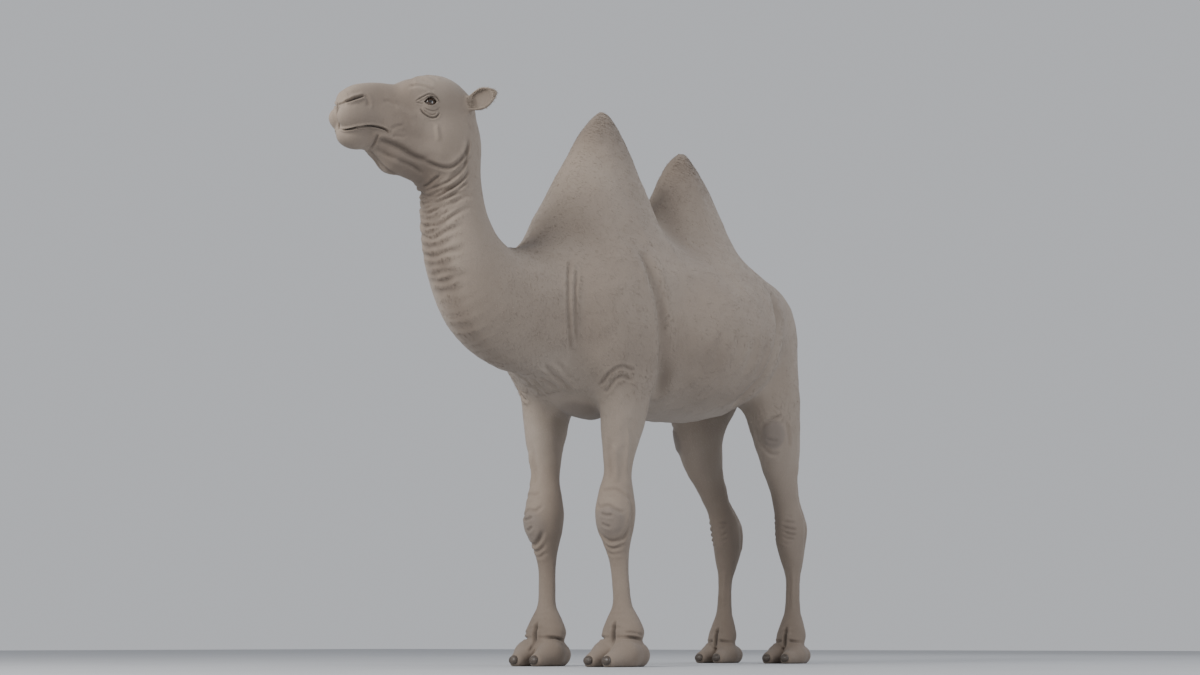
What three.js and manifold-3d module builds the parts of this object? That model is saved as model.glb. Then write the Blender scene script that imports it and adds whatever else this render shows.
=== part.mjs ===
// A two-humped (Bactrian) camel, standing, life size, in its short summer coat.
//
// Millimetres, +Z up. The camel faces -Y and its left side is +X. Its head turns a little to its
// right. The origin is on the floor, under the middle of the camel's box.
//
// The body is one smooth form, written as a function that is negative inside and positive outside.
// It joins rounded lengths, balls and humps with soft fillets. Each part of the body is meshed from
// that form on a grid of its own, and cut from its neighbours by thin flat gaps.

import * as THREE from 'three';
import { mergeVertices } from 'three/addons/utils/BufferGeometryUtils.js';
import Module from 'manifold-3d';

const wasm = await Module();
wasm.setup();

// ---------------------------------------------------------------------------------------------
// Sizes

const COAT = 5;             // thickness of the short coat over the skin
const GAP = 0.3;            // clearance between neighbouring parts
const SIDES = { left: 1, right: -1 };

// Trunk, from chest to rump: [y, centre z, half width, half height]
const TRUNK = [
  [-920, 1270, 100, 140],
  [-820, 1275, 200, 235],
  [-620, 1290, 255, 310],   // over the forelegs
  [-350, 1315, 325, 335],
  [-50, 1325, 375, 335],    // widest, behind the front hump
  [220, 1345, 370, 325],
  [450, 1390, 300, 290],    // flank
  [630, 1415, 230, 245],    // croup
  [760, 1430, 158, 200],
  [855, 1440, 70, 120],     // under the tail
];
const BELLY = { at: [0, -20, 1268], radii: [395, 520, 275], fillet: 100 };
const CHEST_PAD = { at: [0, -560, 1000], radii: [95, 130, 76], fillet: 50 };

// Humps: tip [y, z], y of the middle of the base, and half sizes at the base
const HUMP_BASE = 1480;
const HUMPS = {
  front: { tip: [-455, 2158], middle: -480, half: [260, 450] },
  rear: { tip: [125, 2126], middle: 150, half: [260, 450] },
};
const HUMP_TAPER = 0.86;    // how much narrower a hump is just under its tip
const HUMP_ROOT = 0.4;      // depth of the rounded root, as a share of the hump's height
const HUMP_STEEPNESS = 0.8; // of the hump's form, which sets how wide its fillet spreads
const HUMP_FILLET = 100;

// Neck, from the chest to the back of the skull: [y, z, half depth, half width]
const NECK = [
  [-500, 1300, 270, 240],
  [-780, 1283, 242, 220],
  [-1000, 1268, 222, 190],
  [-1165, 1300, 198, 160],  // lowest point of the bend
  [-1280, 1395, 160, 132],
  [-1340, 1510, 131, 113],
  [-1362, 1630, 112, 101],
  [-1367, 1740, 107, 96],   // throat
  [-1370, 1840, 100, 89],
  [-1362, 1920, 68, 65],    // poll
];
const NECK_FILLET = 100;

// Legs, from the pad up: [z, centre x, centre y, half width, half depth]
const FORELEG = [
  [70, 175, -580, 64, 52],
  [122, 176, -574, 83, 62],   // fetlock
  [168, 175, -573, 65, 51],
  [215, 173, -574, 39, 35],
  [295, 169, -578, 32, 30],   // cannon
  [390, 164, -586, 37, 36],
  [445, 161, -592, 50, 52],
  [500, 159, -598, 67, 70],
  [560, 159, -598, 73, 78],   // knee
  [630, 160, -594, 64, 66],
  [700, 163, -588, 52, 55],
  [770, 167, -583, 56, 66],   // forearm
  [870, 171, -572, 70, 96],
  [960, 173, -560, 75, 120],  // elbow
  [1060, 170, -560, 78, 135],
  [1200, 160, -570, 60, 110],
];
const HIND_LEG = [
  [70, 165, 672, 55, 48],
  [110, 165, 680, 65, 50],    // fetlock
  [160, 165, 690, 53, 42],
  [210, 165, 698, 36, 33],
  [290, 165, 705, 29, 29],    // cannon
  [380, 165, 713, 33, 36],
  [430, 165, 718, 45, 56],
  [500, 165, 722, 52, 86],
  [585, 165, 722, 55, 100],   // hock
  [640, 165, 700, 50, 88],
  [700, 167, 664, 48, 85],
  [760, 170, 638, 56, 97],    // gaskin
  [830, 176, 606, 66, 115],
  [900, 183, 577, 78, 132],
  [1000, 185, 550, 95, 150],  // stifle
  [1120, 185, 535, 103, 168],
  [1300, 160, 540, 90, 150],
  [1420, 130, 550, 60, 100],
];
// How each leg stands off its pattern: [z, outward, backward]
const STANCE = {
  foreleg_left: [[0, 0, 0], [1000, 0, 0]],
  foreleg_right: [[0, 0, 0], [350, 0, 0], [520, 10, 0], [700, 8, 0], [930, 14, 0], [1100, 0, 0]],
  hind_leg_left: [[0, 8, 4], [350, 8, 0], [500, 0, -12], [700, 0, 0], [1000, 0, 0]],
  hind_leg_right: [[0, 0, 0], [350, 0, 0], [500, -4, 8], [620, 0, 0], [800, 12, -30], [1000, 0, -10]],
};
const SHOULDER = { at: [163, -600, 1250], radii: [118, 200, 270], fillet: 100 };
const THIGH = { at: [130, 572, 1300], radii: [115, 195, 290], fillet: 80 };
const FORELEG_FILLET = 50;
const HIND_LEG_FILLET = 45;

// Feet: centre [x, y], then half width, half length and height of the pad, and how far it toes in
const FOREFOOT = { at: [176, -600], half: [102, 125], height: 90, toeIn: 6 };
const HIND_FOOT = { at: [166, 670], half: [86, 112], height: 75, toeIn: 0 };
const FOOT_FILLET = 20;
const WEB_FILLET = 12;
// A toe's places: [outward, back, up] as shares of the pad's half width, half length and height,
// and its radius there as a share of the half width. Its tip is the same size on every foot.
const TOE = {
  heel: { at: [0.44, 0.38, 0.46], radius: 0.46 },
  ball: { at: [0.485, -0.14, 0.46], radius: 0.48 },
};
const TOE_TIP = { out: 43.6, back: -0.78, up: 20, radius: 30 };
const WEB = { rear: [0, 0.3, 0.4], front: [0, -0.06, 0.34], radius: 0.38 };   // behind the cleft
const NAIL = { radii: [19, 12, 17], forward: 26, rise: 4 };

// Head: where its own frame sits, and how it is turned. Its axes are forward, left and up.
const HEAD = { at: [32, -1335, 1860], yaw: -14.5, pitch: -3.7, roll: -5 };
const SKULL_AND_MUZZLE = [   // [forward, centre up, half width, half height]
  [20, -10, 65, 110],
  [100, -12, 82, 130],
  [200, -8, 80, 120],        // eyes
  [290, 0, 64, 105],
  [360, 4, 54, 99],          // corner of the mouth
  [420, 6, 50, 87],
  [465, 8, 46, 70],          // nostrils
  [490, 10, 40, 52],
  [508, 12, 26, 31],
  [517, 13, 3, 4],           // top of the upper lip's split
];
const MUZZLE_SQUARENESS = 2.2;
// Balls and bars that round out the head. Those off its middle are on both sides.
const HEAD_FORMS = [
  { at: [125, 0, 60], radii: [128, 88, 102], fillet: 50 },                        // skull
  { at: [195, 50, 88], radii: [90, 40, 42], fillet: 50 },                         // brow
  { at: [205, 30, -58], radii: [205, 38, 86], fillet: 35 },                       // cheek
  { at: [108, 55, -80], radii: [88, 46, 88], fillet: 40 },                        // jaw's angle
  { from: [160, 52, -128], to: [392, 26, -78], ends: [34, 26], fillet: 20 },      // jaw
  { from: [400, 0, -95], to: [300, 0, -145], ends: [30, 46], fillet: 20 },        // under the jaw
  { from: [300, 0, -145], to: [170, 0, -155], ends: [46, 66], fillet: 30 },       // throat
  { at: [448, 0, -92], radii: [66, 42, 42], fillet: 18 },                         // lower lip, chin
  { at: [450, 26, -34], radii: [80, 33, 50], fillet: 20 },                        // upper lip
];
const HEAD_FILLET = 60;
const EYE = { at: [201, 68, 45], radius: 24.5, out: [0.236, 0.967, 0.1], front: [0.968, -0.226, -0.106] };
// The lids, and the opening between them: half sizes towards the front corner, up and out
const LID = { radius: 28.5, fillet: 12, opening: [25, 14, 20], lift: 26 };
const EAR = { at: [42, 74, 60], along: [-0.48, 0.8, 0.33], facing: [0.8, 0.5, 0.15],
  length: 123, half: 40, wall: 10, cup: 16, root: 20 };

// Tail, from its root: [y, z, half depth, half width]
const TAIL = [
  [800, 1500, 50, 50],
  [880, 1515, 40, 40],
  [940, 1490, 32, 32],
  [965, 1420, 26, 28],
  [960, 1280, 21, 21],
  [955, 1140, 22, 22],
  [955, 1020, 30, 30],       // tuft
  [960, 930, 10, 10],
];
const TAIL_FILLET = 30;

// Where the parts are cut from each other, each by a flat plane
const CUT = {
  neck: { at: [0, -880, 1270], normal: [0, 1, 0] },
  neckBend: { at: [0, -1200, 1340], normal: [0, 0.77, -0.64] },
  neckRise: { at: [0, -1360, 1600], normal: [0, 0.1, -1] },
  throat: { at: [60, 0, -50], normal: [0.786, 0, 0.618] },   // in the head's own frame
  humps: { at: [0, 0, 1700], normal: [0, 0, 1] },
  saddle: { at: [0, -160, 0], normal: [0, 1, 0] },
  tail: { at: [0, 885, 0], normal: [0, 1, 0] },
  tuft: { at: [0, 0, 1120], normal: [0, 0, 1] },
  forelegs: { at: [190, 0, 1000], normal: [-0.5, 0, 0.87] },        // on the left, and mirrored
  hindLegs: { at: [190, 0, 1000], normal: [-0.5, -0.15, 0.86] },
  knee: { at: [0, 0, 445], normal: [0, 0, 1] },
  hock: { at: [0, 0, 440], normal: [0, 0, 1] },
  fetlock: { at: [0, 0, 92], normal: [0, 0, 1] },
  floor: { at: [0, 0, -GAP / 2], normal: [0, 0, 1] },
};
const OVERLAP = 20;         // how far a part is meshed past a cut before it is trimmed

// Middles from which sections are measured: the trunk's [y, z], and the head's [forward, up]
const TRUNK_CORE = [
  [-1000, 1275], [-300, 1330], [400, 1380], [700, 1430], [800, 1465], [850, 1500], [940, 1512],
];
const HEAD_CORE = [[-60, 95], [0, 60], [60, 20], [130, -10], [300, -10], [400, -22], [455, -28]];

const MUZZLE_LEANS = [25, 48, 68];      // degrees, of the rings that close over the lips

// ---------------------------------------------------------------------------------------------
// Materials

const matt = (color, roughness = 0.85) =>
  new THREE.MeshStandardMaterial({ color, roughness, metalness: 0, side: THREE.FrontSide });
const coat = matt(0x84766a);
const paleCoat = matt(0x8d8074);
const darkCoat = matt(0x5d5148);
const nail = matt(0x3b342f, 0.45);
const eyeball = matt(0x1b120c, 0.08);

// ---------------------------------------------------------------------------------------------
// Forms: each gives the distance from its surface in millimetres, negative inside

const { hypot, max, min, abs, sqrt, cos, sin, PI } = Math;
const clamp = THREE.MathUtils.clamp;

/** Joins two forms with a fillet of size k. */
function blend(a, b, k) {
  const h = max(k - abs(a - b), 0) / k;
  return min(a, b) - h * h * k / 4;
}

/** A smooth curve through rows of [place, value, value, ...], as a function of the place. */
function track(rows) {
  const rise = (i, j) => (rows[i + 1][j] - rows[i][j]) / (rows[i + 1][0] - rows[i][0]);
  const span = i => rows[i + 1][0] - rows[i][0];
  const last = rows.length - 1;
  const slope = rows.map((row, i) => row.map((_, j) => {
    if (i === 0) return rise(0, j);
    if (i === last) return rise(last - 1, j);
    return (rise(i, j) * span(i - 1) + rise(i - 1, j) * span(i)) / (span(i - 1) + span(i));
  }));
  return t => {
    const u = clamp(t, rows[0][0], rows[last][0]);
    let i = 0;
    while (i < last - 1 && rows[i + 1][0] < u) i++;
    const h = span(i);
    const s = (u - rows[i][0]) / h;
    const a = 2 * s ** 3 - 3 * s ** 2 + 1;
    const b = s ** 3 - 2 * s ** 2 + s;
    const c = s ** 3 - s ** 2;
    return rows[i].slice(1).map((value, j) =>
      a * value + b * h * slope[i][j + 1] + (1 - a) * rows[i + 1][j + 1] + c * h * slope[i + 1][j + 1]);
  };
}

/** Straight-line values through rows of [place, value, ...]. */
function line(rows, t) {
  const last = rows.length - 1;
  const u = clamp(t, rows[0][0], rows[last][0]);
  let i = 0;
  while (i < last - 1 && rows[i + 1][0] < u) i++;
  const s = (u - rows[i][0]) / (rows[i + 1][0] - rows[i][0]);
  return rows[i].slice(1).map((value, j) => value + s * (rows[i + 1][j + 1] - value));
}

/** An ellipsoid. */
function ball(p, at, radii) {
  const q = p.map((v, i) => (v - at[i]) / radii[i]);
  const near = hypot(...q);
  return near * (near - 1) / (hypot(...q.map((v, i) => v / radii[i])) + 1e-9);
}

/** A rounded bar from a to b whose radius goes from ra to rb. */
function bar(p, a, b, [ra, rb]) {
  const along = b.map((v, i) => v - a[i]);
  const from = p.map((v, i) => v - a[i]);
  const t = clamp(dot(from, along) / dot(along, along), 0, 1);
  return hypot(...from.map((v, i) => v - t * along[i])) - ra - (rb - ra) * t;
}

/** Distance from an oval of half sizes a and b, u and v away from its centre. */
function oval(u, v, a, b, squareness = 2) {
  const reach = ((abs(u) / a) ** squareness + (abs(v) / b) ** squareness) ** (1 / squareness);
  if (reach < 0.3) return (reach - 1) * min(a, b);
  return (reach - 1) * hypot(u, v) / reach;
}

/** A straight limb: ovals at the places of a track, along t, with u and v across it. */
function limb(t, u, v, path, first, last, squareness = 2) {
  const place = clamp(t, first, last);
  const [cu, cv, a, b] = path(place);
  const d = oval(u - cu, v - cv, a, b, squareness);
  const beyond = abs(t - place);
  return beyond > 0 ? hypot(max(d, 0), beyond) : d;
}

/** A bent limb in the middle plane: rows of [y, z, half depth, half width]. */
function bow(rows, samples) {
  const last = rows.length - 1;
  const path = track(rows.map((row, i) => [i, ...row]));
  const stations = Array.from({ length: samples }, (_, i) => {
    const t = i * last / (samples - 1);
    const [y, z] = path(t);
    return { t, y, z };
  });
  stations.forEach((s, i) => {
    const a = stations[max(i - 1, 0)];
    const b = stations[min(i + 1, samples - 1)];
    const length = hypot(b.y - a.y, b.z - a.z);
    s.along = [(b.y - a.y) / length, (b.z - a.z) / length];
    s.spacing = length / (i === 0 || i === samples - 1 ? 1 : 2);
  });
  const pace = last / (samples - 1);
  return ([x, y, z]) => {
    let near = stations[0];
    let least = Infinity;
    for (const s of stations) {
      const d = (y - s.y) ** 2 + (z - s.z) ** 2;
      if (d < least) [least, near] = [d, s];
    }
    const ahead = (y - near.y) * near.along[0] + (z - near.z) * near.along[1];
    const t = clamp(near.t + clamp(ahead / near.spacing, -0.5, 0.5) * pace, 0, last);
    const [cy, cz, depth, width] = path(t);
    const past = (y - cy) * near.along[0] + (z - cz) * near.along[1];
    const across = (z - cz) * near.along[0] - (y - cy) * near.along[1];
    const d = oval(x, across, width, depth);
    return t <= 0 || t >= last ? hypot(max(d, 0), past) : d;
  };
}

// ---------------------------------------------------------------------------------------------
// The body's form

const trunkPath = track(TRUNK.map(([y, z, w, h]) => [y, 0, z, w, h]));
const trunk = ([x, y, z]) => limb(y, x, z, trunkPath, TRUNK[0][0], TRUNK.at(-1)[0]);

/** A hump narrows in a straight line from its base to a round tip, and has a rounded root. */
function hump([x, y, z], { tip, middle, half }) {
  const height = tip[1] - HUMP_BASE;
  const t = clamp((z - HUMP_BASE) / height, -HUMP_ROOT, 1);
  const up = max(t, 0);
  const root = sqrt(1.0001 - (min(t, 0) / HUMP_ROOT) ** 2);
  const s = (1 - HUMP_TAPER * up) * sqrt(1 - up ** 12 + 1e-6) * root;
  const d = oval(x, y - middle - (tip[0] - middle) * up, half[0] * s, half[1] * s);
  return max(HUMP_STEEPNESS * d, z - tip[1], HUMP_BASE - HUMP_ROOT * height - z);
}

const neck = bow(NECK, 48);
const tail = bow(TAIL, 32);

/** One leg's column, with x measured outward on its own side. */
function leg(rows, stance) {
  const path = track(rows);
  return ([x, y, z]) => {
    const [out, back] = line(stance, z);
    return limb(z, x - out, y - back, path, rows[0][0], rows.at(-1)[0]);
  };
}

/** Where a place on a foot lies, given outward, back and up from its middle as it toes in. */
function onFoot([out, back, up], { at, toeIn }) {
  const [c, s] = [cos(toeIn * PI / 180), sin(toeIn * PI / 180)];
  return [at[0] + c * out + s * back, at[1] + c * back - s * out, up];
}

/** The same for a place given as shares of the pad's half width, half length and height. */
function padPlace([out, back, up], side, pad) {
  const [w, l] = pad.half;
  return onFoot([side * w * out, l * back, pad.height * up], pad);
}

/** The middle of a toe's tip, on the foot's outer (1) or inner (-1) side. */
function toeTip(side, pad) {
  return onFoot([side * TOE_TIP.out, pad.half[1] * TOE_TIP.back, TOE_TIP.up], pad);
}

/**
 * Two toes side by side, each a heel bar and a toe bar. From the floor down they go on straight, so
 * that the floor cuts a flat sole.
 */
function foot([x, y, z], pad) {
  const p = [x, y, max(z, 0)];
  const toe = side => {
    const [heel, ball] = Object.values(TOE).map(({ at }) => padPlace(at, side, pad));
    const [rear, middle] = Object.values(TOE).map(({ radius }) => radius * pad.half[0]);
    const front = bar(p, ball, toeTip(side, pad), [middle, TOE_TIP.radius]);
    return blend(bar(p, heel, ball, [rear, middle]), front, FOOT_FILLET);
  };
  const [rear, front] = [WEB.rear, WEB.front].map(at => padPlace(at, 1, pad));
  const web = bar(p, rear, front, scaled([1, 1], WEB.radius * pad.half[0]));
  return blend(min(toe(1), toe(-1)), web, WEB_FILLET);
}

const skullPath = track(SKULL_AND_MUZZLE.map(([a, c, w, h]) => [a, 0, c, w, h]));
const headAxes = headMatrix();

/** The head's own axes: column 0 points forward, column 1 to its left and column 2 up. */
function headMatrix() {
  const [yaw, pitch, roll] = [HEAD.yaw, HEAD.pitch, HEAD.roll].map(v => v * PI / 180);
  const forward = new THREE.Vector3(sin(yaw) * cos(pitch), -cos(yaw) * cos(pitch), sin(pitch));
  const level = new THREE.Vector3(cos(yaw), sin(yaw), 0);
  const upright = new THREE.Vector3().crossVectors(level, forward);
  if (upright.z < 0) upright.negate();
  const left = level.clone().multiplyScalar(cos(roll)).addScaledVector(upright, sin(roll));
  const up = upright.clone().multiplyScalar(cos(roll)).addScaledVector(level, -sin(roll));
  return new THREE.Matrix4().makeBasis(forward, left, up).setPosition(...HEAD.at);
}
const toHead = headAxes.clone().invert();
const inHead = p => new THREE.Vector3(...p).applyMatrix4(toHead).toArray();
const fromHead = p => new THREE.Vector3(...p).applyMatrix4(headAxes).toArray();
const turnFromHead = v => new THREE.Vector3(...v).transformDirection(headAxes).toArray();

/** The head without its ears, the same on both sides of its own middle plane. */
function head(p) {
  const [a, b, c] = inHead(p);
  const q = [a, abs(b), c];
  const [first, last] = [SKULL_AND_MUZZLE[0][0], SKULL_AND_MUZZLE.at(-1)[0]];
  let d = limb(a, q[1], c, skullPath, first, last, MUZZLE_SQUARENESS);
  for (const { at, radii, from, to, ends, fillet } of HEAD_FORMS) {
    d = blend(d, radii ? ball(q, at, radii) : bar(q, from, to, ends), fillet);
  }
  const lid = hypot(...q.map((v, i) => v - EYE.at[i])) - LID.radius;
  return blend(d, lid, LID.fillet);
}

const legs = Object.entries(STANCE).map(([name, stance]) => {
  const fore = name.startsWith('foreleg');
  return {
    name,
    fore,
    side: name.endsWith('left') ? SIDES.left : SIDES.right,
    stance,
    column: leg(fore ? FORELEG : HIND_LEG, stance),
    top: fore ? SHOULDER : THIGH,
    fillet: fore ? FORELEG_FILLET : HIND_LEG_FILLET,
    foot: fore ? FOREFOOT : HIND_FOOT,
  };
});

/** The whole animal, out to the tips of its coat. */
function body(p) {
  let d = trunk(p);
  d = blend(d, ball(p, BELLY.at, BELLY.radii), BELLY.fillet);
  d = blend(d, hump(p, HUMPS.front), HUMP_FILLET);
  d = blend(d, hump(p, HUMPS.rear), HUMP_FILLET);
  d = blend(d, neck(p), NECK_FILLET);
  d = blend(d, ball(p, CHEST_PAD.at, CHEST_PAD.radii), CHEST_PAD.fillet);
  for (const { side, column, top, fillet, foot: pad } of legs) {
    const q = [side * p[0], p[1], p[2]];
    d = blend(d, ball(q, top.at, top.radii), top.fillet);
    d = blend(d, column(q), fillet);
    d = blend(d, foot(q, pad), FOOT_FILLET);
  }
  d = blend(d, head(p), HEAD_FILLET);
  d = blend(d, tail(p), TAIL_FILLET);
  return d - COAT;
}

// ---------------------------------------------------------------------------------------------
// Meshing and cutting

const spread = (count, place) => Array.from({ length: count }, (_, i) => place(i / (count - 1)));
const scaled = (v, s) => v.map(n => n * s);
const sum = (...vectors) => vectors[0].map((_, i) => vectors.reduce((total, v) => total + v[i], 0));
const dot = (a, b) => a[0] * b[0] + a[1] * b[1] + a[2] * b[2];
const cross = (a, b) => [a[1] * b[2] - a[2] * b[1], a[2] * b[0] - a[0] * b[2], a[0] * b[1] - a[1] * b[0]];
const unit = v => scaled(v, 1 / hypot(...v));
const X = [1, 0, 0];
const Y = [0, 1, 0];
const Z = [0, 0, 1];

const RAY_PACE = 12;        // mm, the steps in which a ray is first followed out of a form
const RAY_HALVINGS = 12;    // then its end is found to a few microns
const CUT_HALVINGS = 30;

/** How far a form reaches from a point inside it in one direction. */
function reachOf(form, from, direction) {
  let far = RAY_PACE;
  while (form(sum(from, scaled(direction, far))) < 0) far += RAY_PACE;
  let near = far - RAY_PACE;
  for (let round = 0; round < RAY_HALVINGS; round++) {
    const half = (near + far) / 2;
    if (form(sum(from, scaled(direction, half))) < 0) near = half;
    else far = half;
  }
  return max((near + far) / 2, 1);
}

/**
 * A closed tube over a form: a ring of points at each station of a spine, each point where a ray
 * from the spine leaves the form. A station is { at, n, u, v, lean }, with n along the spine, u and
 * v across it, and lean the angle by which its rays lean forward. The ends close on a point where
 * the spine itself leaves the form.
 */
function tube(form, stations, sides) {
  const points = [];
  for (const { at, n, u, v, lean = 0 } of stations) {
    const [out, forward] = [cos(lean * PI / 180), sin(lean * PI / 180)];
    for (let j = 0; j < sides; j++) {
      const turn = 2 * PI * (j + 0.5) / sides;
      const ray = sum(scaled(u, out * cos(turn)), scaled(v, out * sin(turn)), scaled(n, forward));
      points.push(sum(at, scaled(ray, reachOf(form, at, ray))));
    }
  }
  for (const [{ at, n }, way] of [[stations[0], -1], [stations.at(-1), 1]]) {
    const away = scaled(n, way);
    points.push(sum(at, scaled(away, reachOf(form, at, away))));
  }
  return solid(points.flat(), ringTriangles(stations.length, sides).flat());
}

/**
 * Stations along a path. The rings turn from the first cut's plane, through square to the path, to
 * the last cut's plane, and those two lie just past their cuts. They crowd towards an end that has
 * no cut, and towards the last end of a path that is said to be round.
 */
function stationsAlong(path, [first, last], count, { start, end, round, across = X }) {
  const step = (last - first) * 1e-4;
  const tangent = t => unit(sum(path(t + step), scaled(path(t - step), -1)));
  const crossing = cut => {
    let [near, far] = [first, last];
    const distance = pastCut(cut);
    const sign = Math.sign(distance(path(near)));
    for (let round = 0; round < CUT_HALVINGS; round++) {
      const half = (near + far) / 2;
      if (Math.sign(distance(path(half))) === sign) near = half;
      else far = half;
    }
    return near;
  };
  const facing = (cut, t) => {
    const n = unit(cut.normal);
    return dot(n, tangent(t)) < 0 ? scaled(n, -1) : n;
  };
  const t0 = start ? crossing(start) : first;
  const t1 = end ? crossing(end) : last;
  const n0 = start ? facing(start, t0) : tangent(first);
  const n1 = end ? facing(end, t1) : tangent(last);
  return spread(count, s => {
    const w = round || !end ? 0.5 * s + 0.5 * sin(s * PI / 2) : s;
    const t = t0 + (t1 - t0) * w;
    const [a, b] = [(1 - w) ** 3, w ** 3];
    const normal = unit(sum(scaled(n0, a), scaled(n1, b), scaled(tangent(t), 1 - a - b)));
    const past = s === 0 && start ? -OVERLAP / 2 : s === 1 && end ? OVERLAP / 2 : 0;
    const v = unit(cross(normal, across));
    return { at: sum(path(t), scaled(normal, past)), n: normal, u: cross(v, normal), v };
  });
}

/** The triangles of n rings of points, closed by a point before the first and one after the last. */
function ringTriangles(n, sides) {
  const triangles = [];
  for (let j = 0; j < sides; j++) {
    const k = (j + 1) % sides;
    for (let i = 0; i < n - 1; i++) {
      const [a, b] = [i * sides + j, i * sides + k];
      triangles.push([a, b, b + sides], [a, b + sides, a + sides]);
    }
    triangles.push([n * sides, k, j], [n * sides + 1, (n - 1) * sides + j, (n - 1) * sides + k]);
  }
  return triangles;
}

/** A manifold-3d solid from a closed list of points and triangles, turned to face out. */
function solid(points, triangles) {
  const faces = volume(points, triangles) > 0 ? triangles : triangles.toReversed();
  const vertProperties = Float32Array.from(points);
  const triVerts = Uint32Array.from(faces);
  return new wasm.Manifold(new wasm.Mesh({ numProp: 3, vertProperties, triVerts }));
}

function volume(points, triangles) {
  const corner = n => new THREE.Vector3().fromArray(points, 3 * triangles[n]);
  let total = 0;
  for (let n = 0; n < triangles.length; n += 3) {
    total += corner(n).dot(corner(n + 1).cross(corner(n + 2))) / 6;
  }
  return total;
}

/** The same from a closed three.js geometry. */
function solidOfGeometry(geometry) {
  const bare = geometry.clone();
  bare.deleteAttribute('normal');
  bare.deleteAttribute('uv');
  const merged = mergeVertices(bare, 1e-3);
  return solid(Array.from(merged.attributes.position.array), Array.from(merged.index.array));
}

/** A three.js geometry from a solid. */
function geometryOf(piece) {
  const { vertProperties, triVerts } = piece.getMesh();
  const geometry = new THREE.BufferGeometry();
  geometry.setAttribute('position', new THREE.Float32BufferAttribute(vertProperties, 3));
  geometry.setIndex(Array.from(triVerts));
  geometry.computeVertexNormals();
  return geometry;
}

/** A cut names a plane and the side of it that is kept: 1 is where its normal points. */
const ahead = cut => ({ ...cut, side: 1 });
const astern = cut => ({ ...cut, side: -1 });
const mirrored = ({ at, normal }, side) => ({
  at: [side * at[0], at[1], at[2]],
  normal: [side * normal[0], normal[1], normal[2]],
});

function pastCut({ at, normal, side }) {
  const n = scaled(unit(normal), side);
  const level = dot(n, at);
  return p => level - dot(n, p);
}

/** Everything on the kept side of a cut, half a gap back from it. */
function block({ at, normal, side }) {
  const size = 6000;
  const n = new THREE.Vector3(...scaled(unit(normal), side));
  const geometry = new THREE.BoxGeometry(size, size, size);
  geometry.translate(0, 0, size / 2 + GAP / 2);
  geometry.applyQuaternion(new THREE.Quaternion().setFromUnitVectors(new THREE.Vector3(...Z), n));
  geometry.translate(...at);
  return solidOfGeometry(geometry);
}

/** The body's form, going only a little past some cuts. */
function clipped(form, cuts) {
  const past = cuts.map(pastCut);
  return p => max(form(p), ...past.map(distance => distance(p) - OVERLAP));
}

/** Rings that lean forward more and more from the last station, to close over a blunt end. */
const domed = (stations, leans) => [...stations, ...leans.map(lean => ({ ...stations.at(-1), lean }))];

/**
 * The part of the body round a path and on the kept sides of its cuts: those at the start and end
 * of the path, which its rings follow, and the others beside it.
 */
function bodyPart(path, range, [count, sides], { start, end, beside = [], round, across, leans = [] }) {
  const cuts = [start, end, ...beside].filter(Boolean);
  const rings = domed(stationsAlong(path, range, count, { start, end, round, across }), leans);
  return cuts.reduce((piece, cut) => piece.intersect(block(cut)), tube(clipped(body, cuts), rings, sides));
}

// ---------------------------------------------------------------------------------------------
// The named parts. Each is given its path, the first and last place on it, and a pair such as
// [22, 24] for its rings and the points in each ring.

const camel = new THREE.Group();

function add(name, piece, material) {
  const part = new THREE.Mesh(geometryOf(piece), material);
  part.name = name;
  camel.add(part);
}

function addTrunk() {
  const path = y => [0, y, line(TRUNK_CORE, y)[0]];
  const legCuts = Object.values(SIDES).flatMap(side =>
    [CUT.forelegs, CUT.hindLegs].map(cut => ahead(mirrored(cut, side))));
  const sides = { start: ahead(CUT.neck), end: astern(CUT.tail), beside: [astern(CUT.humps), ...legCuts] };
  add('trunk', bodyPart(path, [-1000, 940], [23, 24], { ...sides, round: true }), coat);
}

function addHumps() {
  const saddles = { front: astern(CUT.saddle), rear: ahead(CUT.saddle) };
  for (const [name, { tip, middle }] of Object.entries(HUMPS)) {
    const foot = CUT.humps.at[2] - 2 * OVERLAP;
    const path = z => [0, middle + (tip[0] - middle) * (z - HUMP_BASE) / (tip[1] - HUMP_BASE), z];
    const sides = { start: ahead(CUT.humps), beside: [saddles[name]] };
    add(`hump_${name}`, bodyPart(path, [foot, tip[1] - 4], [10, 18], sides), coat);
  }
}

/** The path of a bent limb in the middle plane, by the number of its row. */
function bentPath(rows) {
  const path = track(rows.map((row, i) => [i, ...row]));
  return t => [0, ...path(t).slice(0, 2)];
}

function addNeck(throat) {
  const path = bentPath(NECK);
  const lower = { start: astern(CUT.neck), end: ahead(CUT.neckBend) };
  const middle = { start: astern(CUT.neckBend), end: ahead(CUT.neckRise) };
  const upper = { start: astern(CUT.neckRise), end: astern(throat) };
  add('neck_lower', bodyPart(path, [0.5, 4.5], [6, 20], lower), coat);
  add('neck_middle', bodyPart(path, [2, 7], [6, 18], middle), coat);
  add('neck_upper', bodyPart(path, [4, 9], [7, 18], upper), coat);
}

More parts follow.
